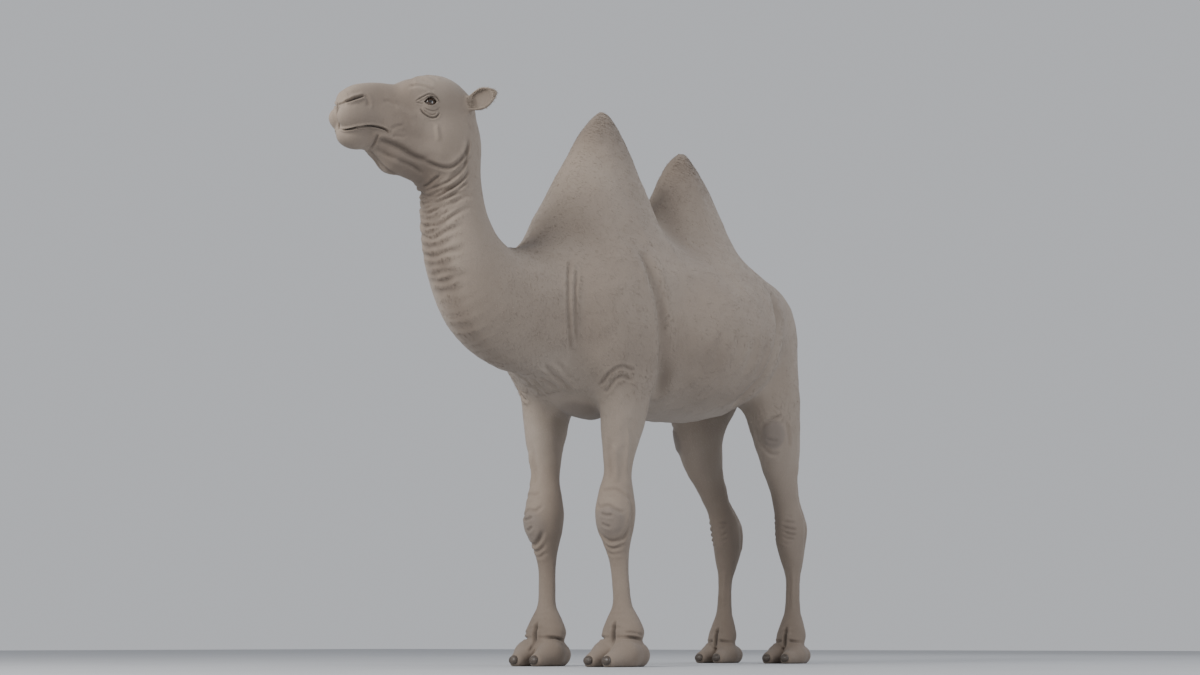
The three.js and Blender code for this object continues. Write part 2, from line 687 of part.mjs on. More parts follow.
function addHead(throat) {
  const path = forward => fromHead([forward, 0, line(HEAD_CORE, forward)[0]]);
  const range = [HEAD_CORE[0][0], HEAD_CORE.at(-1)[0]];
  const whole = [18, 20];
  const sides = { start: ahead(throat), across: turnFromHead(Y), leans: MUZZLE_LEANS };
  const sphere = radius => new THREE.SphereGeometry(radius, 12, 8);
  let skull = bodyPart(path, range, whole, sides);
  for (const [name, side] of Object.entries(SIDES)) {
    const mirror = ([a, b, c]) => [a, side * b, c];
    const at = fromHead(mirror(EYE.at));
    const [front, out] = [EYE.front, EYE.out].map(v => new THREE.Vector3(...turnFromHead(mirror(v))));
    const axes = new THREE.Matrix4().makeBasis(front, new THREE.Vector3().crossVectors(out, front), out);
    axes.setPosition(...fromHead(mirror(sum(EYE.at, scaled(EYE.out, LID.lift)))));
    const opening = sphere(1).scale(...LID.opening).applyMatrix4(axes);
    skull = skull.subtract(solidOfGeometry(sphere(EYE.radius + GAP).translate(...at)));
    skull = skull.subtract(solidOfGeometry(opening));
    add(`eye_${name}`, solidOfGeometry(sphere(EYE.radius).translate(...at)), eyeball);
  }
  const justClear = clipped(p => body(p) - GAP, [sides.start]);
  const around = tube(justClear, domed(stationsAlong(path, range, whole[0], sides), MUZZLE_LEANS), whole[1]);
  for (const [name, side] of Object.entries(SIDES)) {
    add(`ear_${name}`, ear(side).subtract(around), paleCoat);
  }
  add('head', skull, coat);
}

/** An ear: a pointed leaf whose edges curl forward, broadest at its middle. */
function ear(side) {
  const [rings, sides] = [7, 10];
  const along = unit(EAR.along);
  const facing = unit(sum(EAR.facing, scaled(along, -dot(EAR.facing, along))));
  const across = cross(facing, along);
  const place = (length, sideways, lift) => {
    const [a, b, c] = sum(EAR.at, scaled(along, length), scaled(across, sideways), scaled(facing, lift));
    return fromHead([a, side * b, c]);
  };
  const points = [];
  for (let i = 0; i < rings; i++) {
    const length = -EAR.root + (EAR.length + EAR.root) * i / rings;
    const t = max(length / EAR.length, 0);
    const width = (0.45 + 0.55 * sin(PI * t)) * sqrt(1 - t ** 6);
    for (let j = 0; j < sides; j++) {
      const turn = 2 * PI * j / sides;
      const lift = EAR.cup * width * cos(turn) ** 2 + EAR.wall / 2 * sin(turn);
      points.push(place(length, EAR.half * width * cos(turn), lift));
    }
  }
  points.push(place(-EAR.root - 1, 0, 0), place(EAR.length, 0, 0));
  return solid(points.flat(), ringTriangles(rings, sides).flat());
}

function addTail() {
  const path = bentPath(TAIL);
  const length = { start: ahead(CUT.tail), end: ahead(CUT.tuft) };
  const tuft = { start: astern(CUT.tuft), beside: [ahead(CUT.tail)] };
  add('tail', bodyPart(path, [0.2, 6], [11, 8], length), coat);
  add('tail_tuft', bodyPart(path, [4.5, 6.95], [6, 8], tuft), darkCoat);
}

function addLegs() {
  for (const { name, fore, side, stance, foot: pad } of legs) {
    const centre = track(fore ? FORELEG : HIND_LEG);
    const path = z => {
      const [out, back] = line(stance, z);
      const [x, y] = centre(z);
      return [side * (x + out), y + back, z];
    };
    const joint = fore ? CUT.knee : CUT.hock;
    const top = fore ? CUT.forelegs : CUT.hindLegs;
    const upper = { start: ahead(joint), end: astern(mirrored(top, side)) };
    const lower = { start: ahead(CUT.fetlock), end: astern(joint) };
    add(`${name}_upper`, bodyPart(path, [300, 1150], [8, 12], upper), coat);
    add(`${name}_lower`, bodyPart(path, [75, 600], [10, 9], lower), coat);
    addFoot(name, side, pad, path(CUT.fetlock.at[2]));
  }
}

/** A foot stands on the floor on its flat pad, with a broad nail on the tip of each toe. */
function addFoot(name, side, pad, [x, y]) {
  const path = z => [x, y, z];
  const cuts = { start: ahead(CUT.floor), end: astern(CUT.fetlock) };
  let piece = bodyPart(path, [-60, 200], [5, 22], cuts);
  for (const [place, toe] of Object.entries({ inner: -1, outer: 1 })) {
    const tip = toeTip(toe, pad);
    const at = [side * tip[0], tip[1] - NAIL.forward, tip[2] + NAIL.rise];
    const shape = clearance => solidOfGeometry(new THREE.SphereGeometry(1, 8, 5)
      .scale(...NAIL.radii.map(r => r + clearance))
      .translate(...at));
    piece = piece.subtract(shape(GAP));
    add(`${name}_nail_${place}`, shape(0), nail);
  }
  add(`${name}_foot`, piece, darkCoat);
}

const throatCut = { at: fromHead(CUT.throat.at), normal: turnFromHead(CUT.throat.normal) };
addTrunk();
addHumps();
addNeck(throatCut);
addHead(throatCut);
addTail();
addLegs();

// The origin goes to the floor, under the middle of the whole camel
const box = new THREE.Box3().setFromObject(camel);
const centre = box.getCenter(new THREE.Vector3());
camel.children.forEach(part => part.geometry.translate(-centre.x, -centre.y, -box.min.z));

export default camel;
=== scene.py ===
"""A two-humped camel in its short summer coat, dressed for display.

One skin covers the whole animal. Its form is a function that is negative inside and positive
outside, the same as the solids' but without the coat's depth. The skin is meshed from it, folded
and creased, and then come the eyes, the nails and the tufts of hair. Metres, +Z up; the camel
faces -Y and its left side is +X.
"""

import bpy
import numpy as np
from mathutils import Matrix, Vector


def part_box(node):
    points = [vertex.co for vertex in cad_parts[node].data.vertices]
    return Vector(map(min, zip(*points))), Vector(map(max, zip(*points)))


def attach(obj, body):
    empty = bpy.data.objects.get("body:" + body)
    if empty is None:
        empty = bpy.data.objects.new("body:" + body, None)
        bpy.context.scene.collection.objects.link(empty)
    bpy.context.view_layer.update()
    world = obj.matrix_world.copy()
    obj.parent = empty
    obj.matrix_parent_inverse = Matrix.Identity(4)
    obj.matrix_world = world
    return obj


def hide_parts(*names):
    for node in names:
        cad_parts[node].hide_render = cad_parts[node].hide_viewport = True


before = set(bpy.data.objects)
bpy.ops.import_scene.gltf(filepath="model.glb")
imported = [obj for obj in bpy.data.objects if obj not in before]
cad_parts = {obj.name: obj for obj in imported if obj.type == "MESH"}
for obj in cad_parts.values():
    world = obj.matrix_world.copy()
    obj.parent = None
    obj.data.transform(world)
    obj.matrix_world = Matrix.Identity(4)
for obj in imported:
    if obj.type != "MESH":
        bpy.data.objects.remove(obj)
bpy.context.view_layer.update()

# ---------------------------------------------------------------------------------------------
# The body's form
#
# Flesh under a thin skin: a barrel of a trunk, two humps of fat, a neck that hangs in a bow, and
# straight legs. Rounded lengths, balls and humps are joined with soft fillets.

NECK_CUT = -0.88            # where the trunk's solid begins, in the form's own places

TRUNK = [                   # y, x, middle z, half width, half height
    (-.92, 0, 1.270, .100, .140),
    (-.82, 0, 1.275, .200, .235),
    (-.62, 0, 1.290, .255, .310),
    (-.35, 0, 1.315, .325, .335),
    (-.05, 0, 1.325, .375, .335),
    (.22, 0, 1.345, .370, .325),
    (.45, 0, 1.390, .300, .290),
    (.63, 0, 1.415, .230, .245),
    (.76, 0, 1.430, .158, .200),
    (.855, 0, 1.440, .070, .120),
]
BELLY = (0, -.02, 1.268), (.395, .52, .275), .10           # place, half sizes, fillet
CHEST_PAD = (0, -.56, 1.0), (.095, .13, .076), .05
HUMP_BASE = 1.48
HUMPS = [((-.455, 2.158), -.48), ((.125, 2.126), .15)]      # tip (y, z), y of the base's middle
HUMP_HALF = (.26, .45)
HUMP_TAPER = .86            # the share of its width lost from base to tip
HUMP_BLUNTNESS = 12         # the higher, the flatter the tip is cut
HUMP_ROOT = .4              # how far it runs below its base, in heights
HUMP_SCALE = .8             # brings the form's slope near one
NECK = [                    # y, z, half depth, half width
    (-.50, 1.300, .270, .240),
    (-.78, 1.283, .242, .220),
    (-1.00, 1.268, .222, .190),
    (-1.165, 1.300, .198, .160),
    (-1.28, 1.395, .160, .132),
    (-1.34, 1.510, .131, .113),
    (-1.362, 1.630, .112, .101),
    (-1.367, 1.740, .107, .096),
    (-1.370, 1.840, .100, .089),
    (-1.362, 1.920, .068, .065),
]
FORELEG = [                 # z, x, y, half width, half depth
    (.070, .175, -.580, .064, .052),
    (.122, .176, -.574, .083, .062),
    (.168, .175, -.573, .065, .051),
    (.215, .173, -.574, .039, .035),
    (.295, .169, -.578, .032, .030),
    (.390, .164, -.586, .037, .036),
    (.445, .161, -.592, .050, .052),
    (.500, .159, -.598, .067, .070),
    (.560, .159, -.598, .073, .078),
    (.630, .160, -.594, .064, .066),
    (.700, .163, -.588, .052, .055),
    (.770, .167, -.583, .056, .066),
    (.870, .171, -.572, .070, .096),
    (.960, .173, -.560, .075, .120),
    (1.06, .170, -.560, .078, .135),
    (1.20, .160, -.570, .060, .110),
]
HIND_LEG = [
    (.070, .165, .672, .055, .048),
    (.110, .165, .680, .065, .050),
    (.160, .165, .690, .053, .042),
    (.210, .165, .698, .036, .033),
    (.290, .165, .705, .029, .029),
    (.380, .165, .713, .033, .036),
    (.430, .165, .718, .045, .056),
    (.500, .165, .722, .052, .086),
    (.585, .165, .722, .055, .100),
    (.640, .165, .700, .050, .088),
    (.700, .167, .664, .048, .085),
    (.760, .170, .638, .056, .097),
    (.830, .176, .606, .066, .115),
    (.900, .183, .577, .078, .132),
    (1.00, .185, .550, .095, .150),
    (1.12, .185, .535, .103, .168),
    (1.30, .160, .540, .090, .150),
    (1.42, .130, .550, .060, .100),
]
# How each leg stands off its pattern, on the left (1) and right (-1): z, outward, backward
FORE_STANCE = {
    1: [(0, 0, 0), (1, 0, 0)],
    -1: [(0, 0, 0), (.35, 0, 0), (.52, .010, 0), (.7, .008, 0), (.93, .014, 0), (1.1, 0, 0)],
}
HIND_STANCE = {
    1: [(0, .008, .004), (.35, .008, 0), (.5, 0, -.012), (.7, 0, 0), (1, 0, 0)],
    -1: [(0, 0, 0), (.35, 0, 0), (.5, -.004, .008), (.62, 0, 0), (.8, .012, -.030), (1, 0, -.010)],
}
SHOULDER = (.163, -.60, 1.25), (.118, .20, .27), .10
THIGH = (.130, .572, 1.30), (.115, .195, .29), .08
FOREFOOT = (.176, -.600), (.102, .125, .090), 6      # middle; half width, half length, height; toe-in
HIND_FOOT = (.166, .670), (.086, .112, .075), 0
TOE_HEEL = (.440, .380, .46), .46                           # out, back, up; radius, in half widths
TOE_BALL = (.485, -.140, .46), .48
TOE_TIP = (.0436, .0200), -.780, .030                       # out and up in metres; back; radius
WEB = (0, .300, .40), (0, -.060, .34), .38                  # joins the toes behind their cleft
TAIL = [                    # y, z, half depth, half width
    (.800, 1.500, .050, .050),
    (.880, 1.515, .040, .040),
    (.940, 1.490, .032, .032),
    (.965, 1.420, .026, .028),
    (.960, 1.280, .021, .021),
    (.955, 1.140, .022, .022),
    (.955, 1.020, .030, .030),
    (.960, 0.930, .010, .010),
]
HEAD_AT = np.array([.032, -1.335, 1.860])
HEAD_TURN = np.radians([-14.5, -3.7, -5])                   # yaw, pitch, roll
HEAD = [                    # forward, sideways, up, half width, half height
    (.020, 0, -.010, .065, .110),
    (.100, 0, -.012, .082, .130),
    (.200, 0, -.008, .080, .120),
    (.290, 0, .000, .064, .105),
    (.360, 0, .004, .054, .099),
    (.420, 0, .006, .050, .087),
    (.465, 0, .008, .046, .070),
    (.490, 0, .010, .040, .052),
    (.508, 0, .012, .026, .031),
    (.517, 0, .013, .003, .004),
]
HEAD_FORMS = [              # place, half sizes, fillet; or a bar's two ends, their radii, fillet
    ((.125, 0, .060), (.128, .088, .102), .05),             # skull
    ((.195, .050, .088), (.090, .040, .042), .05),          # brow
    ((.205, .030, -.058), (.205, .038, .086), .035),        # cheek
    ((.108, .055, -.080), (.088, .046, .088), .04),         # jaw's angle
    ((.160, .052, -.128), (.392, .026, -.078), (.034, .026), .02),      # jaw
    ((.400, 0, -.095), (.300, 0, -.145), (.030, .046), .02),            # skin under the jaw
    ((.300, 0, -.145), (.170, 0, -.155), (.046, .066), .03),            # throat
    ((.448, .0, -.092), (.066, .042, .042), .018),          # lower lip and chin
    ((.450, .026, -.034), (.080, .033, .050), .020),        # upper lip, one side of its split
]
HEAD_SQUARENESS = 2.2
EYE = np.array([.201, .068, .045])
EYE_RADIUS = .0245
LID_RADIUS = .0285
LID_FILLET = .012
EYE_OUT = np.array([.236, .967, .100])                      # the way the eye looks
EYE_FRONT = np.array([.968, -.226, -.106])                  # towards its front corner
EYE_OPENING = .0236, .0146, -.0122                          # half length, upper and lower edge
SOCKET = .004                                               # the opening's floor, off the middle
LID_EDGE = .0035
EAR_AT = np.array([.042, .074, .060])
EAR_ALONG = np.array([-.48, .80, .33])
EAR_FACING = np.array([.80, .50, .15])
EAR_LENGTH = .118
EAR_ROOT = .045                                             # how far it runs into the head
EAR_HALF_WIDTH = .040
EAR_STALK = .45                                             # width where it leaves the head, as a share
EAR_POINT = .985, 6                                         # how much it narrows at its tip, and how late
EAR_THICKNESS = .35, .003                                   # half of it: share of half width, and more
EAR_LIFT = .004
EAR_SCALE = .9                                              # brings the form's slope near one
# The fillets with which the forms are joined, one after the other
HUMP_FILLET, NECK_FILLET, TAIL_FILLET, HEAD_FILLET, EAR_FILLET = .10, .10, .03, .06, .025
FORELEG_FILLET, HIND_LEG_FILLET, FOOT_FILLET, TOE_FILLET, WEB_FILLET = .05, .045, .02, .02, .012
# The ball outside which a form is too far off to matter: its middle, on the left, and its radius
NECK_ZONE = (0, -1.2, 1.45), 1.1
CHEST_ZONE = (0, -.56, .98), .5
SHOULDER_ZONE = (.2, -.6, 1.2), .7
FORELEG_ZONE = (.2, -.6, .6), 1.
THIGH_ZONE = (.2, .6, 1.2), .75
HIND_LEG_ZONE = (.2, .6, .7), 1.1
FOREFOOT_ZONE = (.185, -.6, .05), .35
HIND_FOOT_ZONE = (.165, .66, .05), .35
HEAD_ZONE = HEAD_AT + (0, -.2, 0), .75
TAIL_ZONE = (0, .95, 1.25), .55
HUMP_ZONE = 1.8, .9                                         # the middle's z; its y is the hump's


def blend(a, b, fillet):
    """The lesser of two forms, less a quarter of the fillet where they are equal."""
    near = np.maximum(fillet - np.abs(a - b), 0) / fillet
    return np.minimum(a, b) - near * near * fillet / 4


def curve(t, places, rows):
    """Each column of rows as a smooth cubic through its values at the places."""
    places, rows = np.asarray(places, float), np.asarray(rows, float)
    slope = np.gradient(rows, places, axis=0)
    i = np.clip(np.searchsorted(places, t) - 1, 0, len(places) - 2)
    span = places[i + 1] - places[i]
    s = np.clip((t - places[i]) / span, 0, 1)[..., None]
    span = span[..., None]
    return ((2 * s**3 - 3 * s**2 + 1) * rows[i] + (s**3 - 2 * s**2 + s) * span * slope[i]
            + (3 * s**2 - 2 * s**3) * rows[i + 1] + (s**3 - s**2) * span * slope[i + 1])


def ball(p, at, radii):
    """An ellipsoid: k (k - 1) / |q / radii|, where q = (p - at) / radii and k = |q|."""
    q = (p - at) / radii
    k = np.linalg.norm(q, axis=1)
    return k * (k - 1) / (np.linalg.norm(q / radii, axis=1) + 1e-9)


def bar(p, a, b, radius_a, radius_b):
    """A rounded bar from a to b: the distance from its line less a radius that changes along it."""
    a, b = np.asarray(a, float), np.asarray(b, float)
    t = np.clip((p - a) @ (b - a) / ((b - a) @ (b - a)), 0, 1)[:, None]
    return np.linalg.norm(p - a - t * (b - a), axis=1) - radius_a - (radius_b - radius_a) * t[:, 0]


def oval(u, v, a, b, squareness=2., core=.3):
    """Distance from an oval of half sizes a and b: towards its middle, or by its less half in its core."""
    reach = ((np.abs(u) / a)**squareness + (np.abs(v) / b)**squareness)**(1 / squareness)
    out = (reach - 1) * np.hypot(u, v) / np.maximum(reach, 1e-6)
    return np.where(reach < core, (reach - 1) * np.minimum(a, b), out)


def capped(d, beyond, past_end):
    """A form with a rounded cap: past its end, the hypotenuse of its own distance and that beyond."""
    return np.where(past_end, np.hypot(np.maximum(d, 0), beyond), d)


def limb(p, axis, rows, squareness=2.):
    """A straight limb whose sections across an axis are ovals, with a rounded cap at each end."""
    rows = np.asarray(rows, float)
    u, v = [i for i in range(3) if i != axis]
    t = np.clip(p[:, axis], rows[0, 0], rows[-1, 0])
    at = curve(t, rows[:, 0], rows[:, 1:])
    d = oval(p[:, u] - at[:, 0], p[:, v] - at[:, 1], at[:, 2], at[:, 3], squareness)
    beyond = np.abs(p[:, axis] - t)
    return capped(d, beyond, beyond > 0)


def along_bow(p, rows, samples):
    """
    Where points lie along a bent limb in the middle plane: the number of the row, the limb's
    values there, and how far the point is across and past it. The nearest of many samples is
    found, then moved along the path, three times, by the point's distance ahead of it.
    """
    rows = np.asarray(rows, float)
    numbers = np.arange(len(rows))
    places = np.linspace(0, len(rows) - 1, samples)
    path = curve(places, numbers, rows)[:, :2]
    step = np.gradient(path, places, axis=0)
    t = places[np.argmin(((p[:, None, 1:] - path[None])**2).sum(2), axis=1)]
    for _ in range(3):
        at = curve(t, numbers, rows)
        along = np.stack([np.interp(t, places, step[:, i]) for i in range(2)], 1)
        length = np.linalg.norm(along, axis=1)
        tangent = along / length[:, None]
        off = p[:, 1:] - at[:, :2]
        ahead = (off * tangent).sum(1)
        t = np.clip(t + np.clip(ahead / length, -.5, .5), 0, len(rows) - 1)
    return t, at, off[:, 1] * tangent[:, 0] - off[:, 0] * tangent[:, 1], ahead


def bow(p, rows, samples=48):
    """A bent limb: ovals across the path of along_bow, with a rounded cap at each end."""
    t, at, across, past = along_bow(p, rows, samples)
    d = oval(p[:, 0], across, at[:, 3], at[:, 2])
    return capped(d, past, (t <= 0) | (t >= len(rows) - 1))


def hump(p, tip, middle):
    """An upright form whose sections shrink in a straight line to a round tip, on a round root."""
    height = tip[1] - HUMP_BASE
    t = np.clip((p[:, 2] - HUMP_BASE) / height, -HUMP_ROOT, 1)
    up, down = np.maximum(t, 0), np.minimum(t, 0) / HUMP_ROOT
    s = (1 - HUMP_TAPER * up) * np.sqrt(1 - up**HUMP_BLUNTNESS + 1e-6) * np.sqrt(1.0001 - down**2)
    d = oval(p[:, 0], p[:, 1] - middle - (tip[0] - middle) * up, HUMP_HALF[0] * s, HUMP_HALF[1] * s)
    floor = HUMP_BASE - HUMP_ROOT * height
    return np.maximum(HUMP_SCALE * d, np.maximum(p[:, 2] - tip[1], floor - p[:, 2]))


def on_pattern(p, stance):
    """Places on a leg, mirrored to the left, moved back onto the pattern by their stance."""
    stance = np.asarray(stance, float)
    out, back = (np.interp(p[:, 2], stance[:, 0], stance[:, i]) for i in (1, 2))
    return p - np.stack([out, back, 0 * out], 1)


def foot(p, middle, sizes, toe_in):
    """Two toes side by side, a heel bar and a toe bar each, with a web behind their cleft."""
    w, l, h = sizes
    x, y = p[:, 0] - middle[0], p[:, 1] - middle[1]
    c, s = np.cos(np.radians(toe_in)), np.sin(np.radians(toe_in))
    p = np.stack([c * x - s * y, s * x + c * y, np.maximum(p[:, 2], 0)], 1)

    def toe(side):
        heel, pad = [(side * w * out, l * back, h * up) for (out, back, up), _ in (TOE_HEEL, TOE_BALL)]
        (out, up), back, radius = TOE_TIP
        return blend(bar(p, heel, pad, TOE_HEEL[1] * w, TOE_BALL[1] * w),
                     bar(p, pad, (side * out, l * back, up), TOE_BALL[1] * w, radius), TOE_FILLET)
    rear, front, radius = WEB
    web = bar(p, np.multiply(rear, (w, l, h)), np.multiply(front, (w, l, h)), radius * w, radius * w)
    return blend(np.minimum(toe(1), toe(-1)), web, WEB_FILLET)


def head_axes():
    """Rows: the head's forward, left and up, from its yaw, pitch and roll."""
    yaw, pitch, roll = HEAD_TURN
    forward = np.array([np.sin(yaw) * np.cos(pitch), -np.cos(yaw) * np.cos(pitch), np.sin(pitch)])
    level = np.array([np.cos(yaw), np.sin(yaw), 0])
    upright = np.cross(level, forward)
    upright = upright * np.sign(upright[2])
    return np.array([forward, np.cos(roll) * level + np.sin(roll) * upright,
                     np.cos(roll) * upright - np.sin(roll) * level])


HEAD_AXES = head_axes()


def in_head(p):
    """Body places as forward, left and up in the head's own frame."""
    return (p - HEAD_AT) @ HEAD_AXES.T


def from_head(q):
    """The reverse of in_head."""
    return np.asarray(q, float) @ HEAD_AXES + HEAD_AT


def ear_axes():
    """The ear's length, its hollow's facing and its width, square to each other."""
    along = EAR_ALONG / np.linalg.norm(EAR_ALONG)
    facing = EAR_FACING - (EAR_FACING @ along) * along
    facing /= np.linalg.norm(facing)
    return along, facing, np.cross(facing, along)


def in_ear(q):
    """Head places, on the left, as length along the ear, lift off it and distance across it."""
    along, facing, across = ear_axes()
    q = q - EAR_AT
    return q @ along, q @ facing, q @ across


def ear_half_width(length):
    """A leaf: widest at its middle, and pointed."""
    t = np.clip(length / EAR_LENGTH, 0, 1)
    leaf = EAR_STALK + (1 - EAR_STALK) * np.sin(np.pi * t)
    return EAR_HALF_WIDTH * leaf * np.sqrt(1 - EAR_POINT[0] * t**EAR_POINT[1])


def ear(q):
    """A full leaf, thick enough to mesh. Its hollow is pressed in afterwards."""
    length, lift, across = in_ear(q)
    half = ear_half_width(length)
    d = oval(across, lift - EAR_LIFT, half, EAR_THICKNESS[0] * half + EAR_THICKNESS[1])
    beyond = np.maximum(length - EAR_LENGTH, 0) + np.maximum(-EAR_ROOT - length, 0)
    return capped(d, beyond, beyond > 0) * EAR_SCALE


def in_eye(q):
    """Head places, on the left, as towards the eye's front corner, up and out."""
    q = q - EYE
    return q @ EYE_FRONT, q @ np.cross(EYE_FRONT, EYE_OUT), q @ EYE_OUT


def eye_opening(q):
    """Negative between the lids: an almond whose two edges are parabolas from corner to corner."""
    along, up, out = in_eye(q)
    half, high, low = EYE_OPENING
    arch = 1 - (along / half)**2
    return np.maximum(np.maximum(up - high * arch, low * arch - up), SOCKET - out)


def head(p):
    """The head, alike on both sides of its own middle plane."""
    q = in_head(p)
    q[:, 1] = np.abs(q[:, 1])
    d = limb(q, 0, HEAD, HEAD_SQUARENESS)
    for form in HEAD_FORMS:
        added = ball(q, *form[:2]) if len(form) == 3 else bar(q, form[0], form[1], *form[2])
        d = blend(d, added, form[-1])
    d = blend(d, np.linalg.norm(q - EYE, axis=1) - LID_RADIUS, LID_FILLET)
    d = -blend(-d, eye_opening(q), LID_EDGE)
    return blend(d, ear(q), EAR_FILLET)


def near(p, middle, reach, form, far=9.):
    """A form worked out only within reach of its middle, and far off elsewhere."""
    out = np.full(len(p), far)
    close = ((p - middle)**2).sum(1) < reach * reach
    if close.any():
        out[close] = form(p[close])
    return out


def body(p):
    """The whole animal without its coat."""
    d = limb(p, 1, TRUNK)
    d = blend(d, ball(p, *BELLY[:2]), BELLY[2])
    for tip, middle in HUMPS:
        zone = (0, middle, HUMP_ZONE[0]), HUMP_ZONE[1]
        d = blend(d, near(p, *zone, lambda q: hump(q, tip, middle)), HUMP_FILLET)
    d = blend(d, near(p, *NECK_ZONE, lambda q: bow(q, NECK)), NECK_FILLET)
    d = blend(d, near(p, *CHEST_ZONE, lambda q: ball(q, *CHEST_PAD[:2])), CHEST_PAD[2])
    for side in (1, -1):
        fore = lambda q: limb(on_pattern(q, FORE_STANCE[side]), 2, FORELEG)
        hind = lambda q: limb(on_pattern(q, HIND_STANCE[side]), 2, HIND_LEG)
        q = p * [side, 1, 1]
        d = blend(d, near(q, *SHOULDER_ZONE, lambda q: ball(q, *SHOULDER[:2])), SHOULDER[2])
        d = blend(d, near(q, *FORELEG_ZONE, fore), FORELEG_FILLET)
        d = blend(d, near(q, *THIGH_ZONE, lambda q: ball(q, *THIGH[:2])), THIGH[2])
        d = blend(d, near(q, *HIND_LEG_ZONE, hind), HIND_LEG_FILLET)
        d = blend(d, near(q, *FOREFOOT_ZONE, lambda q: foot(q, *FOREFOOT)), FOOT_FILLET)
        d = blend(d, near(q, *HIND_FOOT_ZONE, lambda q: foot(q, *HIND_FOOT)), FOOT_FILLET)
    d = blend(d, near(p, *HEAD_ZONE, head), HEAD_FILLET)
    d = blend(d, near(p, *TAIL_ZONE, lambda q: bow(q, TAIL, 32)), TAIL_FILLET)
    return np.maximum(d, -p[:, 2])


# ---------------------------------------------------------------------------------------------
# Folds, creases and pads
#
# The skin is loose where the animal bends. It lies in rings round the throat, in bags and lids
# round the eyes, in folds behind the jaw and elbow, and in thick pads where a camel kneels.

def with_twin(x, depth, half_width, line):
    """A crease and its twin across the upright plane at x."""
    twin = [(round(2 * x - out, 4), back, up) for out, back, up in line]
    return [(depth, half_width, line), (depth, half_width, twin)]


HEAD_CREASES = [            # depth, half width, places in the head; a depth below 0 is a ridge
    (.0120, .0026, [(.506, .003, -.076), (.497, .031, -.079), (.464, .052, -.070), (.424, .055, -.061),
                    (.389, .056, -.061), (.364, .060, -.067), (.350, .062, -.078)]),          # mouth
    (.0110, .0034, [(.442, .047, .040), (.469, .045, .029), (.495, .039, .017),
                    (.508, .030, .010)]),                                                   # nostril
    (.0045, .0030, [(.506, .032, .010), (.513, .018, .007), (.514, .006, .004)]),
    (.0080, .0042, [(.517, .000, .014), (.514, .000, .000), (.510, .000, -.014), (.504, .000, -.036),
                    (.498, .000, -.052), (.502, .000, -.065), (.508, .000, -.076)]),     # lip's split
    (-.0035, .0050, [(.446, .049, .052), (.470, .046, .041), (.494, .040, .028)]),
    (-.0025, .0045, [(.452, .050, .026), (.474, .047, .015), (.496, .040, .005)]),
    (.0050, .0045, [(.391, .056, -.084), (.393, .046, -.100), (.394, .033, -.115), (.399, .018, -.127)]),
    (.0095, .0075, [(.388, .050, -.101), (.358, .055, -.106), (.307, .061, -.119), (.253, .063, -.141),
                    (.205, .070, -.152)]),                                          # under the jaw
    (.0080, .0060, [(.215, .068, -.152), (.161, .077, -.167), (.123, .087, -.167), (.095, .099, -.148),
                    (.066, .104, -.110), (.053, .102, -.063)]),                    # round the cheek
    (.0065, .0060, [(.389, .028, -.128), (.353, .038, -.142), (.284, .051, -.165), (.243, .050, -.175),
                    (.201, .047, -.195)]),
    (.0055, .0050, [(.406, .016, -.129), (.374, .009, -.150), (.351, .009, -.171), (.326, .015, -.190),
                    (.276, .006, -.204)]),
    (.0032, .0022, [(.262, .076, .040), (.250, .081, .050), (.238, .087, .059), (.222, .094, .0685),
                    (.203, .098, .071), (.186, .098, .062), (.172, .097, .045)]),     # upper lid's fold
    (.0034, .0050, [(.285, .066, .090), (.251, .082, .096), (.222, .093, .092), (.200, .097, .083)]),
    (.0025, .0022, [(.256, .076, .040), (.245, .080, .038), (.233, .084, .036)]),
    (.0048, .0030, [(.240, .076, .020), (.228, .080, .007), (.212, .083, -.003), (.196, .086, -.006),
                    (.181, .089, .000), (.169, .092, .015)]),                         # bag under the eye
    (.0026, .0020, [(.229, .081, .018), (.213, .084, .007), (.197, .086, .004), (.180, .089, .010)]),
    (.0022, .0018, [(.236, .083, .028), (.222, .085, .021), (.202, .088, .017), (.182, .091, .022),
                    (.172, .095, .034)]),
    (.0050, .0045, [(.178, .010, -.233), (.172, .041, -.222), (.163, .057, -.208), (.148, .068, -.195)]),
    (.0055, .0045, [(.169, .000, -.247), (.147, .058, -.231), (.121, .079, -.214), (.096, .091, -.192),
                    (.073, .098, -.163), (.064, .102, -.133), (.062, .104, -.099)]),
    (.0060, .0045, [(.163, .000, -.268), (.151, .048, -.265), (.134, .069, -.255), (.111, .084, -.237),
                    (.070, .095, -.203), (.046, .096, -.166)]),
    (.0050, .0040, [(.150, .000, -.291), (.140, .050, -.287), (.118, .078, -.268), (.085, .092, -.238),
                    (.050, .098, -.205)]),
    (.0028, .0060, [(.440, .047, .043), (.430, .049, .031), (.427, .051, .016), (.435, .053, .004)]),
    (.0020, .0060, [(.367, .053, .033), (.345, .055, .030), (.326, .059, .024)]),
    (.0022, .0050, [(.345, .064, -.062), (.325, .068, -.050), (.300, .071, -.044)]),
    (.0022, .0050, [(.340, .064, -.086), (.318, .068, -.082), (.290, .070, -.084)]),
    (-.0030, .0100, [(.330, .058, .012), (.290, .064, .000), (.255, .072, -.012)]),
    (-.0030, .0070, [(.181, .092, -.028), (.178, .093, -.058), (.172, .093, -.082)]),
    (.0035, .0060, [(.060, .100, .030), (.048, .100, .005), (.040, .098, -.030)]),
    (.0050, .0110, [(.205, .000, .146), (.200, .030, .142), (.188, .058, .132), (.172, .076, .118)]),
    (.0045, .0130, [(.248, .052, .104), (.225, .072, .112), (.196, .086, .108)]),     # over the brow
]
